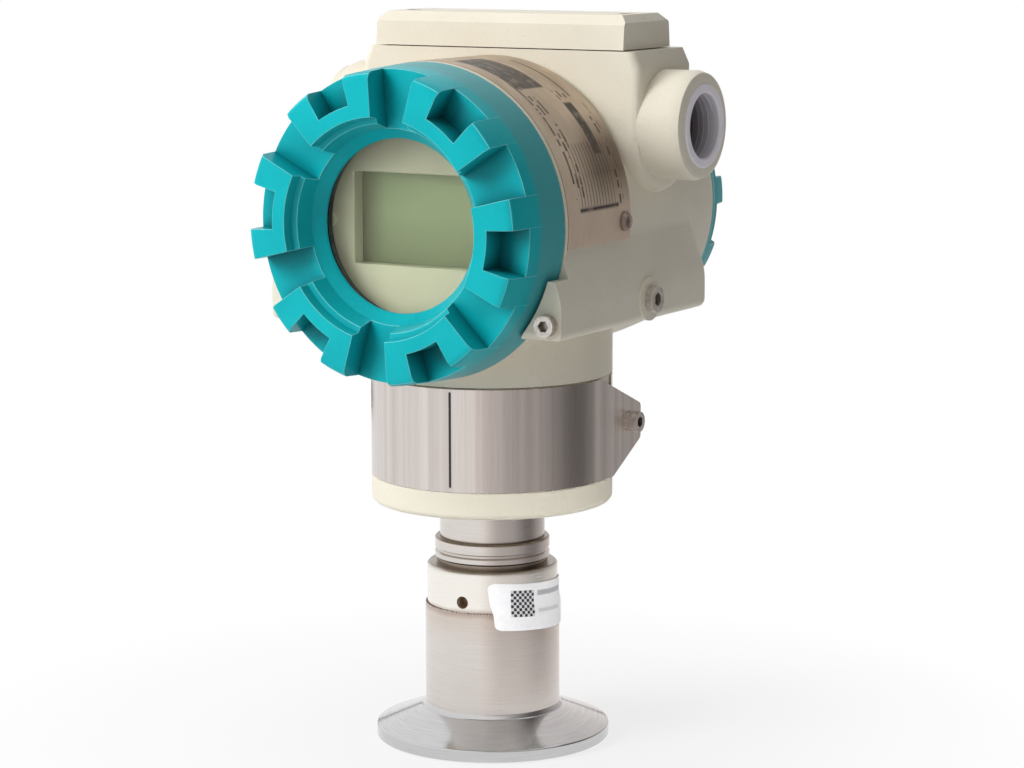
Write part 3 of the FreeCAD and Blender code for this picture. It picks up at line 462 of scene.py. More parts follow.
bushLow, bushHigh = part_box("entry_bush")
bushMiddle = (bushLow + bushHigh) / 2
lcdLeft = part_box("lcd_panel")[0].x
rubberLook = {
    "colour": (34, 33, 34), "second": (44, 42, 42), "cloudScale": 90,
    "grainScale": 1400, "grainStrength": 0.25, "grainDepth": 0.05 * mm, "rough": (0.5, 0.66),
}
boardLook = dict(rubberLook, colour=(28, 92, 58), second=(22, 76, 48), rough=(0.35, 0.5))
blackLook = dict(rubberLook, colour=(40, 40, 42), second=(50, 50, 52), rough=(0.38, 0.52))
# the bezel: painted light, paler towards the bottom
bezelLook = dict(rubberLook, colour=(192, 191, 158), second=(184, 182, 150),
                 grainScale=1100, rough=(0.45, 0.58), grainStrength=0.15,
                 lowShading=(220, 219, 182), lowSpan=(axisZ - 20 * mm, axisZ + 16 * mm))
# the bush: painted shade deeper in the bore
bushLook = dict(rubberLook, colour=(246, 242, 249), second=(239, 234, 243),
                grainScale=800, rough=(0.36, 0.5), grainStrength=0.12,
                boreShade=(96, 86, 88), boreMiddle=(bushMiddle.y, bushMiddle.z),
                boreEdge=(8.9 * mm, 9.5 * mm), boreSpan=(bushHigh.x - 9 * mm, bushHigh.x))
# the LCD: painted shade towards the bottom and the left
lcdLook = dict(rubberLook, colour=(156, 168, 122), second=(146, 159, 112),
               grainScale=5200, cloudScale=24, rough=(0.22, 0.3), grainStrength=0.05,
               lowShading=(112, 120, 80), lowSpan=(axisZ - 16 * mm, axisZ + 2 * mm),
               sideShade=(116, 116, 82), sideSpan=(lcdLeft + 1 * mm, lcdLeft + 9 * mm))
markLook = dict(rubberLook, colour=(226, 224, 216), second=(214, 212, 204))
blackRubber = plasticFinish("black_rubber", rubberLook)
boardGreen = plasticFinish("board_green", boardLook)
blackPlastic = plasticFinish("black_plastic", blackLook)
bezelPlastic = plasticFinish("bezel_plastic", bezelLook)
bushPlastic = plasticFinish("bush_plastic", bushLook)
lcdGlass = plasticFinish("lcd_glass", lcdLook)
markPaint = plasticFinish("mark_paint", markLook)


def glassFinish(name, look):
    material, tree, shader, point = startMaterial(name)
    haze = noiseAt(tree, point, look["hazeScale"], 2)
    setSurface(tree, shader, look["colour"], spread(tree, haze, *look["rough"]))
    feed(tree, shader.inputs["Transmission Weight"], 1.0)
    feed(tree, shader.inputs["IOR"], look["ior"])
    return material


windowLook = {"colour": (0.97, 0.985, 0.975, 1.0), "hazeScale": 60, "rough": (0.0, 0.025), "ior": 1.3}
windowGlass = glassFinish("window_glass", windowLook)
print("materials made:", len(bpy.data.materials))


# Every CAD node gets its finish, also where a richer piece stands for it later
def dress(material, *names):
    for name in names:
        mesh = nodes[name].data
        mesh.materials.clear()
        mesh.materials.append(material)


dress(turnedSteel, "clamp_ferrule", "process_adapter")
dress(plugSteel, "fill_plug")
dress(diaphragmSteel, "diaphragm")
dress(bandSteel, "tag_band")
dress(labelPaper, "stem_label")
dress(driveShadedSteel, "nameplate_screw_right", "nameplate_screw_left")
dress(nameplateSteel, "nameplate")
dress(beigePaint, "cell_housing", "housing", "key_cover", "blanking_plug")
dress(tealPaint, "front_cap", "rear_cap")
dress(screwSteel, "tag_band_screw", "tag_band_nut", "hinge_pin", "front_lock_screw", "rear_lock_screw",
      "swivel_lock_screw", "earth_screw", "earth_clamp", "key_cover_screw_left", "key_cover_screw_right",
      "inner_earth_screw", "sensor_capsule")
dress(brass, "terminal_screw_1", "terminal_screw_2", "terminal_screw_3", "terminal_screw_4")
dress(boardGreen, "sensor_board", "display_board")
dress(blackRubber, "swivel_seal", "front_cap_seal", "rear_cap_seal")
# the glass retainer is made black: painted shade in the gap round the window
dress(blackPlastic, "electronics_module", "terminal_block", "glass_retainer")
dress(blackPlastic, "key_mode", "key_up", "key_down")
dress(bezelPlastic, "display_bezel", "display_screw_left", "display_screw_right")
dress(lcdGlass, "lcd_panel")
dress(bushPlastic, "entry_bush")
dress(windowGlass, "window_glass")


# Piece helpers
def newPiece(name, mesh, material):
    piece = bpy.data.objects.new(name, mesh)
    scene.collection.objects.link(piece)
    mesh.materials.clear()
    mesh.materials.append(material)
    return piece


def meshFrom(work, name):
    mesh = bpy.data.meshes.new(name)
    work.to_mesh(mesh)
    work.free()
    return mesh


def isSharp(edge, degrees):
    return len(edge.link_faces) == 2 and edge.calc_face_angle() > math.radians(degrees)


def smoothShade(work, degrees):
    for face in work.faces:
        face.smooth = True
    for edge in work.edges:
        edge.smooth = len(edge.link_faces) == 2 and not isSharp(edge, degrees)


def flatten(piece):                             # flat faces keep their own normal, in a plain mesh
    flat = piece.modifiers.new("flat_faces", "WEIGHTED_NORMAL")
    flat.keep_sharp = True
    graph = bpy.context.evaluated_depsgraph_get()
    shaped = piece.evaluated_get(graph)
    mesh = bpy.data.meshes.new_from_object(shaped, preserve_all_data_layers=True, depsgraph=graph)
    piece.modifiers.clear()
    piece.data = mesh


def attach(piece, body, slot, *replaced):
    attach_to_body(piece, body)
    if replaced:
        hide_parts(*replaced)


# Lugged caps: a turned section for each kind of sector, walls where two kinds meet
lugLook = {
    "sets": 6, "pocketDegrees": 17.5, "slotDegrees": 19.5, "pocketSteps": 7, "lugSteps": 5, "slotSteps": 8,
    "joinReach": 0.01 * mm, "sliver": 0.005 * mm, "sharpDegrees": 30, "edgeSteps": 2,
}


def roundMarked(work, look):                    # outer edges rounded, the new faces marked for a paler tone: part wear, part painted highlight
    sharp = [edge for edge in work.edges if isSharp(edge, look["sharpDegrees"]) and edge.is_convex]
    wearAndHighlight = work.faces.layers.float.new("wearAndHighlight")
    made = bmesh.ops.bevel(work, geom=sharp, offset=look["edge"] * mm, offset_type="OFFSET", profile=0.5,
                           segments=look["edgeSteps"], affect="EDGES", miter_outer="ARC", clamp_overlap=True)
    for face in made["faces"]:
        face[wearAndHighlight] = 1.0
        face.smooth = True


def luggedCap(node, look, slot):
    name = node + "_cast"
    work = bmesh.new()
    facing = look["facing"]                     # -1 front, 1 rear

    def place(radius, along, degrees):
        turn = math.radians(degrees)
        up = -facing * radius * math.sin(turn) * mm
        return (radius * math.cos(turn) * mm, facing * along * mm, axisZ + up)

    def column(section, degrees):
        return [work.verts.new(place(radius, along, degrees)) for radius, along in section]

    tops = (look["lugTop"], look["pocketTop"], look["slotTop"])
    lug, pocket, slotted = (look["head"] + top + look["tail"] for top in tops)
    setDegrees = 360 / look["sets"]             # one set is a pocket, a lug, a slot and a lug
    lugDegrees = (setDegrees - look["pocketDegrees"] - look["slotDegrees"]) / 2
    sectors = [(pocket, look["pocketDegrees"], look["pocketSteps"]), (lug, lugDegrees, look["lugSteps"]),
               (slotted, look["slotDegrees"], look["slotSteps"]), (lug, lugDegrees, look["lugSteps"])]
    start = look["spin"] - look["pocketDegrees"] / 2
    for section, width, steps in sectors * look["sets"]:
        columns = [column(section, start + width * step / steps) for step in range(steps + 1)]
        for before, after in zip(columns, columns[1:]):
            for index in range(len(section)):
                following = (index + 1) % len(section)
                work.faces.new((before[index], before[following], after[following], after[index]))
        start += width
    walls = [(0.0, look["pocketDegrees"], look["pocketWall"]),
             (setDegrees / 2, look["slotDegrees"], look["slotWall"])]
    for offset, width, corners in walls:
        for repeat in range(look["sets"]):
            for side in (-1, 1):
                middle = look["spin"] + setDegrees * repeat + offset
                work.faces.new(column(corners, middle + side * width / 2))
    bmesh.ops.remove_doubles(work, verts=work.verts, dist=look["joinReach"])
    bmesh.ops.dissolve_degenerate(work, edges=work.edges, dist=look["sliver"])
    bmesh.ops.recalc_face_normals(work, faces=work.faces)
    smoothShade(work, look["sharpDegrees"])
    roundMarked(work, look)
    piece = newPiece(name, meshFrom(work, name), nodes[node].data.materials[0])
    flatten(piece)
    attach(piece, nodes[node]["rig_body"], slot, node)
    return piece


capFront = -capLow.y / mm                       # in mm, as the whole section is
capFloor = capFront - 7.6
windowY = capFront - 11.2
skirtR = capHigh.x / mm
faceR = skirtR - 3.8
ringR = faceR - 9.1
windowR = ringR - 6.1
seatBack = 33.2                                 # where the skirt ends, just clear of the housing's flange
threadR = skirtR - 6.0
pocketIn = faceR - 5.4
floorOut = (faceR + 2.8, capFloor)
floorIn = (windowR + 2.8, capFloor)
skirtEdge = (skirtR - 0.5, capFloor - 5.0)
lugOutside = [(faceR + 3.0, capFloor - 1.0), (faceR + 2.5, capFront - 1.9), (faceR + 1.9, capFront - 0.7),
              (faceR + 0.6, capFront), (pocketIn, capFront)]
ringInside = [(ringR, capFront), (ringR - 0.5, capFront - 2.8), (ringR - 1.9, capFront - 3.3), floorIn]
frontCapLook = {
    **lugLook, "facing": -1, "spin": -6.1, "edge": 0.6,
    "head": [(skirtR, seatBack), skirtEdge],
    "lugTop": lugOutside + ringInside,
    "pocketTop": [floorOut, (pocketIn, capFloor), (pocketIn, capFront)] + ringInside,
    "slotTop": [floorOut, floorIn],
    "tail": [(windowR + 2.6, windowY + 3.0), (windowR + 0.3, windowY + 0.8), (windowR, windowY),
             (windowR + 3.9, windowY), (windowR + 3.9, windowY - 5.9), (threadR - 4.8, windowY - 5.9),
             (threadR - 4.8, seatBack - 10.7), (threadR, seatBack - 10.7), (threadR, seatBack - 3.3),
             (threadR - 1.7, seatBack - 3.3), (threadR - 1.7, seatBack - 1.0), (threadR, seatBack - 1.0),
             (threadR, seatBack)],
    "pocketWall": [skirtEdge] + lugOutside + [(pocketIn, capFloor), floorOut],
    "slotWall": [skirtEdge] + lugOutside + ringInside + [floorOut],
}
frontCap = luggedCap("front_cap", frontCapLook, "teal_paint")

rearFront = rearHigh.y / mm
rearFloor = rearFront - 5.3
rearFace = rearFront - 3.6                      # the flat middle, inside the lugs
rearBack = rearFront - 8.4
rearR = rearHigh.x / mm
rearThreadR = rearR - 4.4
rearPocketIn = rearR - 7.0
rearSlotIn = rearR - 9.0
rearOut = (rearR - 1.4, rearFloor)
rearEdge = (rearR - 0.2, rearFloor - 0.8)
rearOutside = [(rearR - 0.9, rearFront - 1.6), (rearR - 1.5, rearFront - 0.5), (rearR - 2.6, rearFront),
               (rearPocketIn, rearFront)]
rearInside = [(rearR - 11.0, rearFront), (rearR - 12.0, rearFace)]
rearCapLook = {
    **lugLook, "facing": 1, "spin": 11.0, "edge": 0.4,
    "head": [(rearR, rearBack), rearEdge],
    "lugTop": rearOutside + rearInside,
    "pocketTop": [rearOut, (rearPocketIn, rearFloor), (rearPocketIn, rearFront)] + rearInside,
    "slotTop": [rearOut, (rearSlotIn, rearFloor), (rearSlotIn, rearFace), rearInside[-1]],
    "tail": [(0.0, rearFace), (0.0, rearFront - 7.0), (rearThreadR - 3.8, rearFront - 7.0),
             (rearThreadR - 3.8, rearBack - 9.3), (rearThreadR, rearBack - 9.3),
             (rearThreadR, rearBack - 3.3), (rearThreadR - 1.7, rearBack - 3.3),
             (rearThreadR - 1.7, rearBack - 1.0), (rearThreadR, rearBack - 1.0), (rearThreadR, rearBack)],
    "pocketWall": [rearEdge] + rearOutside + [(rearPocketIn, rearFloor), rearOut],
    "slotWall": [rearEdge] + rearOutside + rearInside + [(rearSlotIn, rearFace), (rearSlotIn, rearFloor),
                                                         rearOut],
}
rearCap = luggedCap("rear_cap", rearCapLook, "teal_paint")
print("caps built:", len(frontCap.data.polygons), "and", len(rearCap.data.polygons), "faces")


# Merged copies of CAD nodes, with their edges rounded as a casting or turning has them
def roundedCopy(node, slot, width, look):
    name = node + "_rounded"
    work = bmesh.new()
    work.from_mesh(nodes[node].data)
    bmesh.ops.remove_doubles(work, verts=work.verts, dist=look["joinReach"])
    if node not in look["keepFacets"]:
        bmesh.ops.dissolve_limit(work, angle_limit=math.radians(look["flatDegrees"]), verts=work.verts,
                                 edges=work.edges)
    smoothShade(work, look["sharpDegrees"])
    piece = newPiece(name, meshFrom(work, name), nodes[node].data.materials[0])
    bevel = piece.modifiers.new("edge_round", "BEVEL")
    bevel.width = width
    bevel.segments = look["edgeSteps"]
    bevel.limit_method = "ANGLE"
    bevel.angle_limit = math.radians(look["sharpDegrees"])
    bevel.miter_outer = "MITER_ARC"
    flatten(piece)
    attach(piece, nodes[node]["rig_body"], slot, node)
    print("rounded", node, len(piece.data.polygons), "faces")


roundedLook = {
    "joinReach": 0.002 * mm, "flatDegrees": 0.3, "sharpDegrees": 32, "edgeSteps": 2,
    "keepFacets": ["blanking_plug"],
    "widths": [
        ("beige_paint", {"housing": 0.6, "cell_housing": 0.4, "key_cover": 0.5}),
        ("polished_steel", {"clamp_ferrule": 0.15, "process_adapter": 0.15}),
        ("band_steel", {"tag_band": 0.12}),
        ("bush_plastic", {"entry_bush": 0.5}),
        ("bezel_plastic", {"display_bezel": 0.3}),
        ("screw_steel", {"front_lock_screw": 0.25, "rear_lock_screw": 0.25, "swivel_lock_screw": 0.25,
                         "earth_screw": 0.25, "earth_clamp": 0.25, "tag_band_screw": 0.2}),
        ("beige_paint", {"blanking_plug": 0.5}),
        ("black_plastic", {"terminal_block": 0.3, "key_mode": 0.3, "key_up": 0.3, "key_down": 0.3}),
    ],
}
for slot, widths in roundedLook["widths"]:
    for node, width in widths.items():
        roundedCopy(node, slot, width * mm, roundedLook)


# Geometry Nodes for what repeats: ribs or beads set round a ring, and screw threads
def startTree(name, inputs):
    tree = bpy.data.node_groups.new(name, "GeometryNodeTree")
    tree.interface.new_socket("Geometry", in_out="OUTPUT", socket_type="NodeSocketGeometry")
    sockets = {}
    for label, kind in inputs.items():
        made = tree.interface.new_socket(label, in_out="INPUT", socket_type="NodeSocket" + kind)
        sockets[label] = made.identifier
    return tree, sockets, tree.nodes.new("NodeGroupInput").outputs


def endTree(tree, geometry, material):
    real = addNode(tree, "GeometryNodeRealizeInstances", {}, {"Geometry": geometry})
    painted = addNode(tree, "GeometryNodeSetMaterial", {}, {
        "Geometry": real.outputs[0], "Material": material})
    tree.links.new(painted.outputs[0], tree.nodes.new("NodeGroupOutput").inputs[0])


def setRound(tree, given, thing):               # copies of a thing on a ring, each turned outwards
    ring = addNode(tree, "GeometryNodeMeshCircle", {}, {
        "Vertices": given["Count"], "Radius": given["Radius"]})
    spot = tree.nodes.new("GeometryNodeInputPosition").outputs[0]
    axes = {"axis": "X", "pivot_axis": "Z"}
    facing = addNode(tree, "FunctionNodeAlignRotationToVector", axes, {"Vector": spot})
    return addNode(tree, "GeometryNodeInstanceOnPoints", {}, {
        "Points": ring.outputs[0], "Instance": thing.outputs["Mesh"], "Rotation": facing.outputs[0]})


def ribTree():                                  # upright V-shaped ribs round a cylinder
    tree, sockets, given = startTree("rib_ring", {
        "Count": "Int", "Radius": "Float", "Rib Size": "Float", "Rib Length": "Float",
        "Material": "Material"})
    rib = addNode(tree, "GeometryNodeMeshCylinder", {}, {
        "Vertices": 4, "Radius": given["Rib Size"], "Depth": given["Rib Length"]})
    endTree(tree, setRound(tree, given, rib).outputs[0], given["Material"])
    return tree, sockets


def beadTree():                                 # overlapping weld beads, each a little different
    tree, sockets, given = startTree("bead_ring", {
        "Count": "Int", "Radius": "Float", "Bead Size": "Vector", "Unevenness": "Float", "Seed": "Int",
        "Material": "Material"})
    bead = addNode(tree, "GeometryNodeMeshUVSphere", {}, {"Segments": 8, "Rings": 5, "Radius": 1.0})
    factor = addNode(tree, "FunctionNodeRandomValue", {"data_type": "FLOAT"}, {
        2: calc(tree, "SUBTRACT", 1.0, given["Unevenness"]), 3: 1.0, "Seed": given["Seed"]})
    size = addNode(tree, "ShaderNodeVectorMath", {"operation": "SCALE"}, {
        0: given["Bead Size"], "Scale": factor.outputs[1]})
    placed = setRound(tree, given, bead)
    feed(tree, placed.inputs["Scale"], size.outputs[0])
    endTree(tree, placed.outputs[0], given["Material"])
    return tree, sockets


def threadTree():                               # one ridge wound round a spigot or inside a bore
    tree, sockets, given = startTree("thread", {
        "Turns": "Float", "Radius": "Float", "Height": "Float", "Ridge": "Float", "Steps": "Int",
        "Material": "Material"})
    helix = addNode(tree, "GeometryNodeCurveSpiral", {}, {
        "Resolution": given["Steps"], "Rotations": given["Turns"], "Start Radius": given["Radius"],
        "End Radius": given["Radius"], "Height": given["Height"]})
    upright = addNode(tree, "GeometryNodeSetCurveNormal", {"mode": "Z_UP"}, {"Curve": helix.outputs[0]})
    ridge = addNode(tree, "GeometryNodeCurvePrimitiveCircle", {}, {"Resolution": 4, "Radius": given["Ridge"]})
    swept = addNode(tree, "GeometryNodeCurveToMesh", {}, {
        "Curve": upright.outputs[0], "Profile Curve": ridge.outputs[0], "Fill Caps": True})
    endTree(tree, swept.outputs[0], given["Material"])
    return tree, sockets


def growMesh(recipe, values):
    tree, sockets = recipe
    holder = bpy.data.objects.new("holder", bpy.data.meshes.new("holder"))
    scene.collection.objects.link(holder)
    modifier = holder.modifiers.new("grow", "NODES")
    modifier.node_group = tree
    for label, value in values.items():
        modifier[sockets[label]] = value
    graph = bpy.context.evaluated_depsgraph_get()
    mesh = bpy.data.meshes.new_from_object(holder.evaluated_get(graph), depsgraph=graph)
    bpy.data.objects.remove(holder)
    return mesh


def standing(place, way):                       # turns the tree's upright axis along way, at place
    return Matrix.Translation(place) @ Vector(way).to_track_quat("Z", "Y").to_matrix().to_4x4()


def gather(name, grown, material, slot, body):  # grown meshes put in place and joined, one piece for a body
    work = bmesh.new()
    for mesh, matrix in grown:
        mesh.transform(matrix)
        work.from_mesh(mesh)
    bmesh.ops.recalc_face_normals(work, faces=work.faces)
    piece = newPiece(name, meshFrom(work, name), material)
    attach(piece, body, slot)
    print("grown", name, len(piece.data.polygons), "faces")


ribs, beads, thread = ribTree(), beadTree(), threadTree()

knurlLook = {
    "ribSize": 0.16 * mm, "ribSink": 0.04 * mm, "inset": 0.35 * mm,
    "ribsPerMm": 13,                            # for each mm of the screw head's radius
    "head": [("front_lock_screw", (0, -1, 0), 2.6), ("rear_lock_screw", (0, 1, 0), 3.0),
             ("swivel_lock_screw", (1, 0, 0), 2.2), ("earth_screw", (-1, 0, 0), 3.0)],
    "cell": [("tag_band_screw", (1, 0, 0), 3.0)],
}
for body in ("head", "cell"):
    grown = []
    for node, way, headHigh in knurlLook[body]:
        low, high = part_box(node)
        middle = (low + high) / 2
        along = Vector(way)
        reach = [high[i] if way[i] > 0 else low[i] for i in range(3)]
        tip = Vector([reach[i] if way[i] else middle[i] for i in range(3)])
        radius = max((high - low)[i] for i in range(3) if not way[i]) / 2
        mesh = growMesh(ribs, {
            "Count": int(radius / mm * knurlLook["ribsPerMm"]), "Radius": radius - knurlLook["ribSink"],
            "Rib Size": knurlLook["ribSize"], "Rib Length": headHigh * mm - 2 * knurlLook["inset"],
            "Material": screwSteel})
        grown.append((mesh, standing(tip - along * (headHigh * mm / 2), way)))
    gather("screw_knurls_" + body, grown, screwSteel, "screw_steel", body)

weldLook = {"count": 128, "size": (0.16 * mm, 0.62 * mm, 0.5 * mm), "uneven": 0.22, "seed": 7,
            "outside": 0.2 * mm, "rise": 0.05 * mm}
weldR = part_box("process_adapter")[1].x + weldLook["outside"]
weld = growMesh(beads, {
    "Count": weldLook["count"], "Radius": weldR, "Bead Size": weldLook["size"],
    "Unevenness": weldLook["uneven"], "Seed": weldLook["seed"], "Material": turnedSteel})
weldPlace = Matrix.Translation((0, 0, weldZ + weldLook["rise"]))
gather("weld_bead", [(weld, weldPlace)], turnedSteel, "polished_steel", "cell")

threadLook = {
    "pitch": 2.0, "steps": 72, "ridge": 0.22,
    "front_cap": {"radius": threadR, "from": seatBack - 10.0, "to": seatBack - 4.0, "facing": -1},
    "rear_cap": {"radius": rearThreadR, "from": rearBack - 8.6, "to": rearBack - 4.0, "facing": 1},
}
for body in ("front_cap", "rear_cap"):
    look = threadLook[body]
    span = look["to"] - look["from"]
    ridge = growMesh(thread, {
        "Turns": span / threadLook["pitch"], "Radius": look["radius"] * mm, "Height": span * mm,
        "Ridge": threadLook["ridge"] * mm, "Steps": threadLook["steps"], "Material": tealPaint})
    place = (0, look["facing"] * look["from"] * mm, axisZ)
    stood = standing(place, (0, look["facing"], 0))
    gather(body + "_thread", [(ridge, stood)], tealPaint, "teal_paint", body)

entryLook = {"bore": 8.65, "pitch": 1.5, "lip": 2.2, "ridge": 0.2, "steps": 64}
bushSpan = (bushHigh.x - bushLow.x) / mm - 2 * entryLook["lip"]
bushRidge = growMesh(thread, {
    "Turns": bushSpan / entryLook["pitch"], "Radius": entryLook["bore"] * mm, "Height": bushSpan * mm,
    "Ridge": entryLook["ridge"] * mm, "Steps": entryLook["steps"], "Material": bushPlastic})
bushPlace = (bushLow.x + entryLook["lip"] * mm, bushMiddle.y, bushMiddle.z)
gather("entry_thread", [(bushRidge, standing(bushPlace, (1, 0, 0)))], bushPlastic, "bush_plastic", "head")

# Raised marks on the three keys: a dot and two plain arrowheads, as corners and a turn
keyLook = {"size": 2.0 * mm, "rise": 0.25 * mm, "sink": 0.1 * mm,
           "marks": {"key_mode": (16, 0.0), "key_up": (3, 90.0), "key_down": (3, -90.0)}}
for node, (corners, spin) in keyLook["marks"].items():
    low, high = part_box(node)
    middle = (low + high) / 2
    work = bmesh.new()
    turns = [math.radians(spin + 360 * step / corners) for step in range(corners)]
    rim = [(middle.x + keyLook["size"] * math.cos(turn), middle.y + keyLook["size"] * math.sin(turn))
           for turn in turns]
    base = work.faces.new([work.verts.new((x, y, high.z - keyLook["sink"])) for x, y in rim])
    raisedPart = bmesh.ops.extrude_face_region(work, geom=[base])["geom"]
    for vert in raisedPart:
        if isinstance(vert, bmesh.types.BMVert):
            vert.co.z += keyLook["rise"]
    bmesh.ops.recalc_face_normals(work, faces=work.faces)
    mark = newPiece(node + "_mark", meshFrom(work, node + "_mark"), markPaint)
    attach(mark, nodes[node]["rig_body"], "plate_steel")
print("detail pieces added")


# Stage: pieces that aren't part of the object
white = (1.0, 1.0, 1.0, 1.0)
stageLook = {
    "leftWay": (-0.86, -0.51, 0.1), "fillShade": 0.15, "fillLit": 0.6, "fillRange": (-0.9, 0.9),
    "floorTone": (0.74, 0.74, 0.74, 1.0), "floorShare": 0.78, "shadowReach": (45 * mm, 160 * mm),
    "floorR": 3.0, "floorSides": 64, "floorDrop": 0.4 * mm,
}


def stageMaterial(name):
    material = bpy.data.materials.new(name)
    material.use_nodes = True
    tree = material.node_tree
    tree.nodes.clear()
    return material, tree, tree.nodes.new("ShaderNodeOutputMaterial").inputs["Surface"]


def cameraRayMix(tree, lit, plain, socket):     # lit lights the object, plain is what is seen or mirrored
    path = tree.nodes.new("ShaderNodeLightPath")
    seen = calc(tree, "MAXIMUM", path.outputs["Is Camera Ray"], path.outputs["Is Glossy Ray"])
    seen = calc(tree, "MAXIMUM", seen, path.outputs["Is Transmission Ray"])
    mix = addNode(tree, "ShaderNodeMixShader", {}, {0: seen, 1: lit, 2: plain})
    tree.links.new(mix.outputs[0], socket)


def glow(tree, colour, strength):
    return addNode(tree, "ShaderNodeEmission", {}, {"Color": colour, "Strength": strength}).outputs[0]


def arcFaces(work, start, end, steps, rows):    # faces round the upright axis, a row is a reach and a height
    for step in range(steps):
        turns = [math.radians(start + (end - start) * (step + more) / steps) for more in (0, 1)]
        for first, second in zip(rows, rows[1:]):
            corners = [(turns[0], first), (turns[1], first), (turns[1], second), (turns[0], second)]
            work.faces.new([work.verts.new((math.sin(turn) * reach, -math.cos(turn) * reach, height))
                            for turn, (reach, height) in corners])


def mirroredOnly(name, work, material):         # seen in gloss, not by the camera
    piece = newPiece(name, meshFrom(work, name), material)
    piece.visible_camera = False
    piece.visible_diffuse = False
    piece.visible_transmission = False
    piece.visible_shadow = False


world = bpy.data.worlds.new("studio")
scene.world = world
world.use_nodes = True
skyTree = world.node_tree
skyWay = skyTree.nodes.new("ShaderNodeTexCoord").outputs["Generated"]
towardLeft = addNode(skyTree, "ShaderNodeVectorMath", {"operation": "DOT_PRODUCT"}, {
    0: skyWay, 1: stageLook["leftWay"]}).outputs["Value"]
fill = spread(skyTree, towardLeft, stageLook["fillShade"], stageLook["fillLit"], *stageLook["fillRange"])
lightSky = skyTree.nodes["Background"]
feed(skyTree, lightSky.inputs["Strength"], fill)
feed(skyTree, lightSky.inputs["Color"], white)
whiteSky = addNode(skyTree, "ShaderNodeBackground", {}, {"Color": white, "Strength": 1.0})
skySocket = skyTree.nodes["World Output"].inputs["Surface"]
cameraRayMix(skyTree, lightSky.outputs[0], whiteSky.outputs[0], skySocket)

floorMaterial, floorTree, floorSocket = stageMaterial("studio_floor")
floorPoint = floorTree.nodes.new("ShaderNodeTexCoord").outputs["Object"]
floorReach = addNode(floorTree, "ShaderNodeVectorMath", {"operation": "LENGTH"}, {0: floorPoint})
floorFade = spread(floorTree, floorReach.outputs["Value"], stageLook["floorShare"], 1.0,
                   *stageLook["shadowReach"])
floorDiffuse = addNode(floorTree, "ShaderNodeBsdfDiffuse", {}, {"Color": stageLook["floorTone"]}).outputs[0]
floorPale = addNode(floorTree, "ShaderNodeMixShader", {}, {
    0: floorFade, 1: floorDiffuse, 2: glow(floorTree, white, 1.0)}).outputs[0]
cameraRayMix(floorTree, floorDiffuse, floorPale, floorSocket)
floorWork = bmesh.new()
bmesh.ops.create_circle(floorWork, cap_ends=True, segments=stageLook["floorSides"],
                        radius=stageLook["floorR"])
floor = newPiece("studio_floor", meshFrom(floorWork, "studio_floor"), floorMaterial)
floor.location.z = -stageLook["floorDrop"]

# A grey wall round the right, with a strip of floor before it, so that round steel shows soft upright bands
wallLook = {
    "near": 0.06, "reach": 0.3, "high": 0.42, "steps": 48, "nearShare": 0.3, "fullFrom": 0.294,
    "colour": (1.0, 0.95, 0.93, 1.0),
    "tones": [(12.0, 1.0), (40.0, 0.52), (78.0, 0.4), (106.0, 0.13), (124.0, 0.13), (148.0, 0.42),
              (176.0, 0.65), (200.0, 1.0)],     # degrees round the stem and brightness
}
wallMaterial, wallTree, wallSocket = stageMaterial("grey_wall")
wallPoint = wallTree.nodes.new("ShaderNodeTexCoord").outputs["Object"]
wallAngle = angleRoundStem(wallTree, wallPoint)[0]
wallAngle = calc(wallTree, "MODULO", calc(wallTree, "ADD", wallAngle, 360.0), 360.0)
wallTone = 1.0
for (angleA, toneA), (angleB, toneB) in zip(wallLook["tones"], wallLook["tones"][1:]):
    wallStep = spread(wallTree, wallAngle, 0.0, toneB - toneA, angleA, angleB)
    wallTone = calc(wallTree, "ADD", wallTone, wallStep)
wallReach = reachOf(wallTree, *splitPoint(wallTree, wallPoint)[:2])
wallShare = spread(wallTree, wallReach, wallLook["nearShare"], 1.0, wallLook["near"], wallLook["fullFrom"])
wallDark = times(wallTree, wallShare, calc(wallTree, "SUBTRACT", 1.0, wallTone))
wallGlow = glow(wallTree, wallLook["colour"], calc(wallTree, "SUBTRACT", 1.0, wallDark))
wallTree.links.new(wallGlow, wallSocket)
wallWork = bmesh.new()
arcFaces(wallWork, wallLook["tones"][0][0], wallLook["tones"][-1][0], wallLook["steps"], [
    (wallLook["near"], 0.0), (wallLook["reach"], 0.0), (wallLook["reach"], wallLook["high"])])
mirroredOnly("grey_wall", wallWork, wallMaterial)

# Two dark strips behind the object, mirrored as thin lines on the ferrule
stripLook = {"reach": 0.28, "steps": 12, "tone": 0.1,
             "strips": [(212.0, 242.0, 0.045, 0.057), (182.0, 209.0, 0.014, 0.025)]}
stripMaterial, stripTree, stripSocket = stageMaterial("dark_strip")
stripTree.links.new(glow(stripTree, white, stripLook["tone"]), stripSocket)
stripWork = bmesh.new()
for start, end, low, high in stripLook["strips"]:
    stripRows = [(stripLook["reach"], low), (stripLook["reach"], high)]
    arcFaces(stripWork, start, end, stripLook["steps"], stripRows)
mirroredOnly("dark_strip", stripWork, stripMaterial)


# Lamps, none of them mirrored
def addLamp(name, kind, look):
    light = bpy.data.lights.new(name, kind)
    light.energy = look["power"]
    lamp = bpy.data.objects.new(name, light)
    scene.collection.objects.link(lamp)
    lamp.location = look["place"]
    lamp.rotation_euler = (Vector(look["target"]) - lamp.location).to_track_quat("-Z", "Y").to_euler()
    lamp.visible_glossy = False
    return light


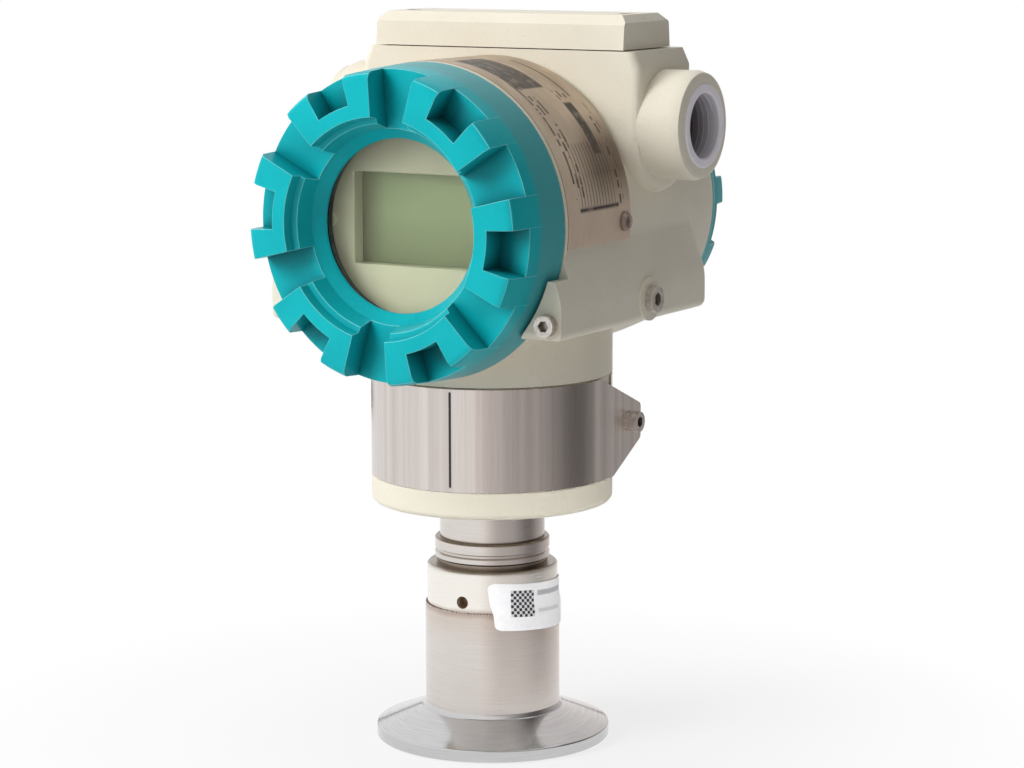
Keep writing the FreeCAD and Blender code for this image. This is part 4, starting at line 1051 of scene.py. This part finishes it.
lamps = {
    "key": {"place": (-0.72, -1.2, 0.85), "power": 17.0, "size": 0.7, "target": (0, 0, 0.12)},
    "top": {"place": (-0.3, -0.25, 1.25), "power": 3.5, "size": 0.9, "target": (0, 0, 0.12)},
}
for name, look in lamps.items():
    addLamp(name, "AREA", look).size = look["size"]
spotLook = {"place": (0.6, -0.25, 0.1), "power": 85.0, "target": (0.017, -0.006, 0.039),
            "degrees": 2.8, "blend": 1.0, "size": 0.04}
spot = addLamp("low_spot", "SPOT", spotLook)    # a narrow beam on the label
spot.spot_size = math.radians(spotLook["degrees"])
spot.spot_blend = spotLook["blend"]
spot.shadow_soft_size = spotLook["size"]

# Camera, turned from straight ahead by yaw, pitch and roll
view = {"azimuth": 30.83, "reach": 0.82745, "height": 0.22969, "pitch": -9.08, "yaw": 0.38, "roll": -0.12,
        "lens": 108.19, "sensor": 36.0, "clip": 0.01}
turn, pitch, yaw, roll = (math.radians(view[key]) for key in ("azimuth", "pitch", "yaw", "roll"))
ahead = Vector((-math.sin(turn), math.cos(turn), 0))
right = Vector((math.cos(turn), math.sin(turn), 0))
up = Vector((0, 0, 1))
ahead, right = ahead * math.cos(yaw) + right * math.sin(yaw), right * math.cos(yaw) - ahead * math.sin(yaw)
ahead, up = ahead * math.cos(pitch) + up * math.sin(pitch), up * math.cos(pitch) - ahead * math.sin(pitch)
right, up = right * math.cos(roll) + up * math.sin(roll), up * math.cos(roll) - right * math.sin(roll)
camera = bpy.data.cameras.new("photo_view")
camera.lens = view["lens"]
camera.sensor_width = view["sensor"]
camera.clip_start = view["clip"]
cameraObject = bpy.data.objects.new("photo_view", camera)
place = Vector((view["reach"] * math.sin(turn), -view["reach"] * math.cos(turn), view["height"]))
cameraObject.matrix_world = Matrix((
    (right.x, up.x, -ahead.x, place.x), (right.y, up.y, -ahead.y, place.y),
    (right.z, up.z, -ahead.z, place.z), (0, 0, 0, 1)))
scene.collection.objects.link(cameraObject)
scene.camera = cameraObject
print("stage, lights and camera set")
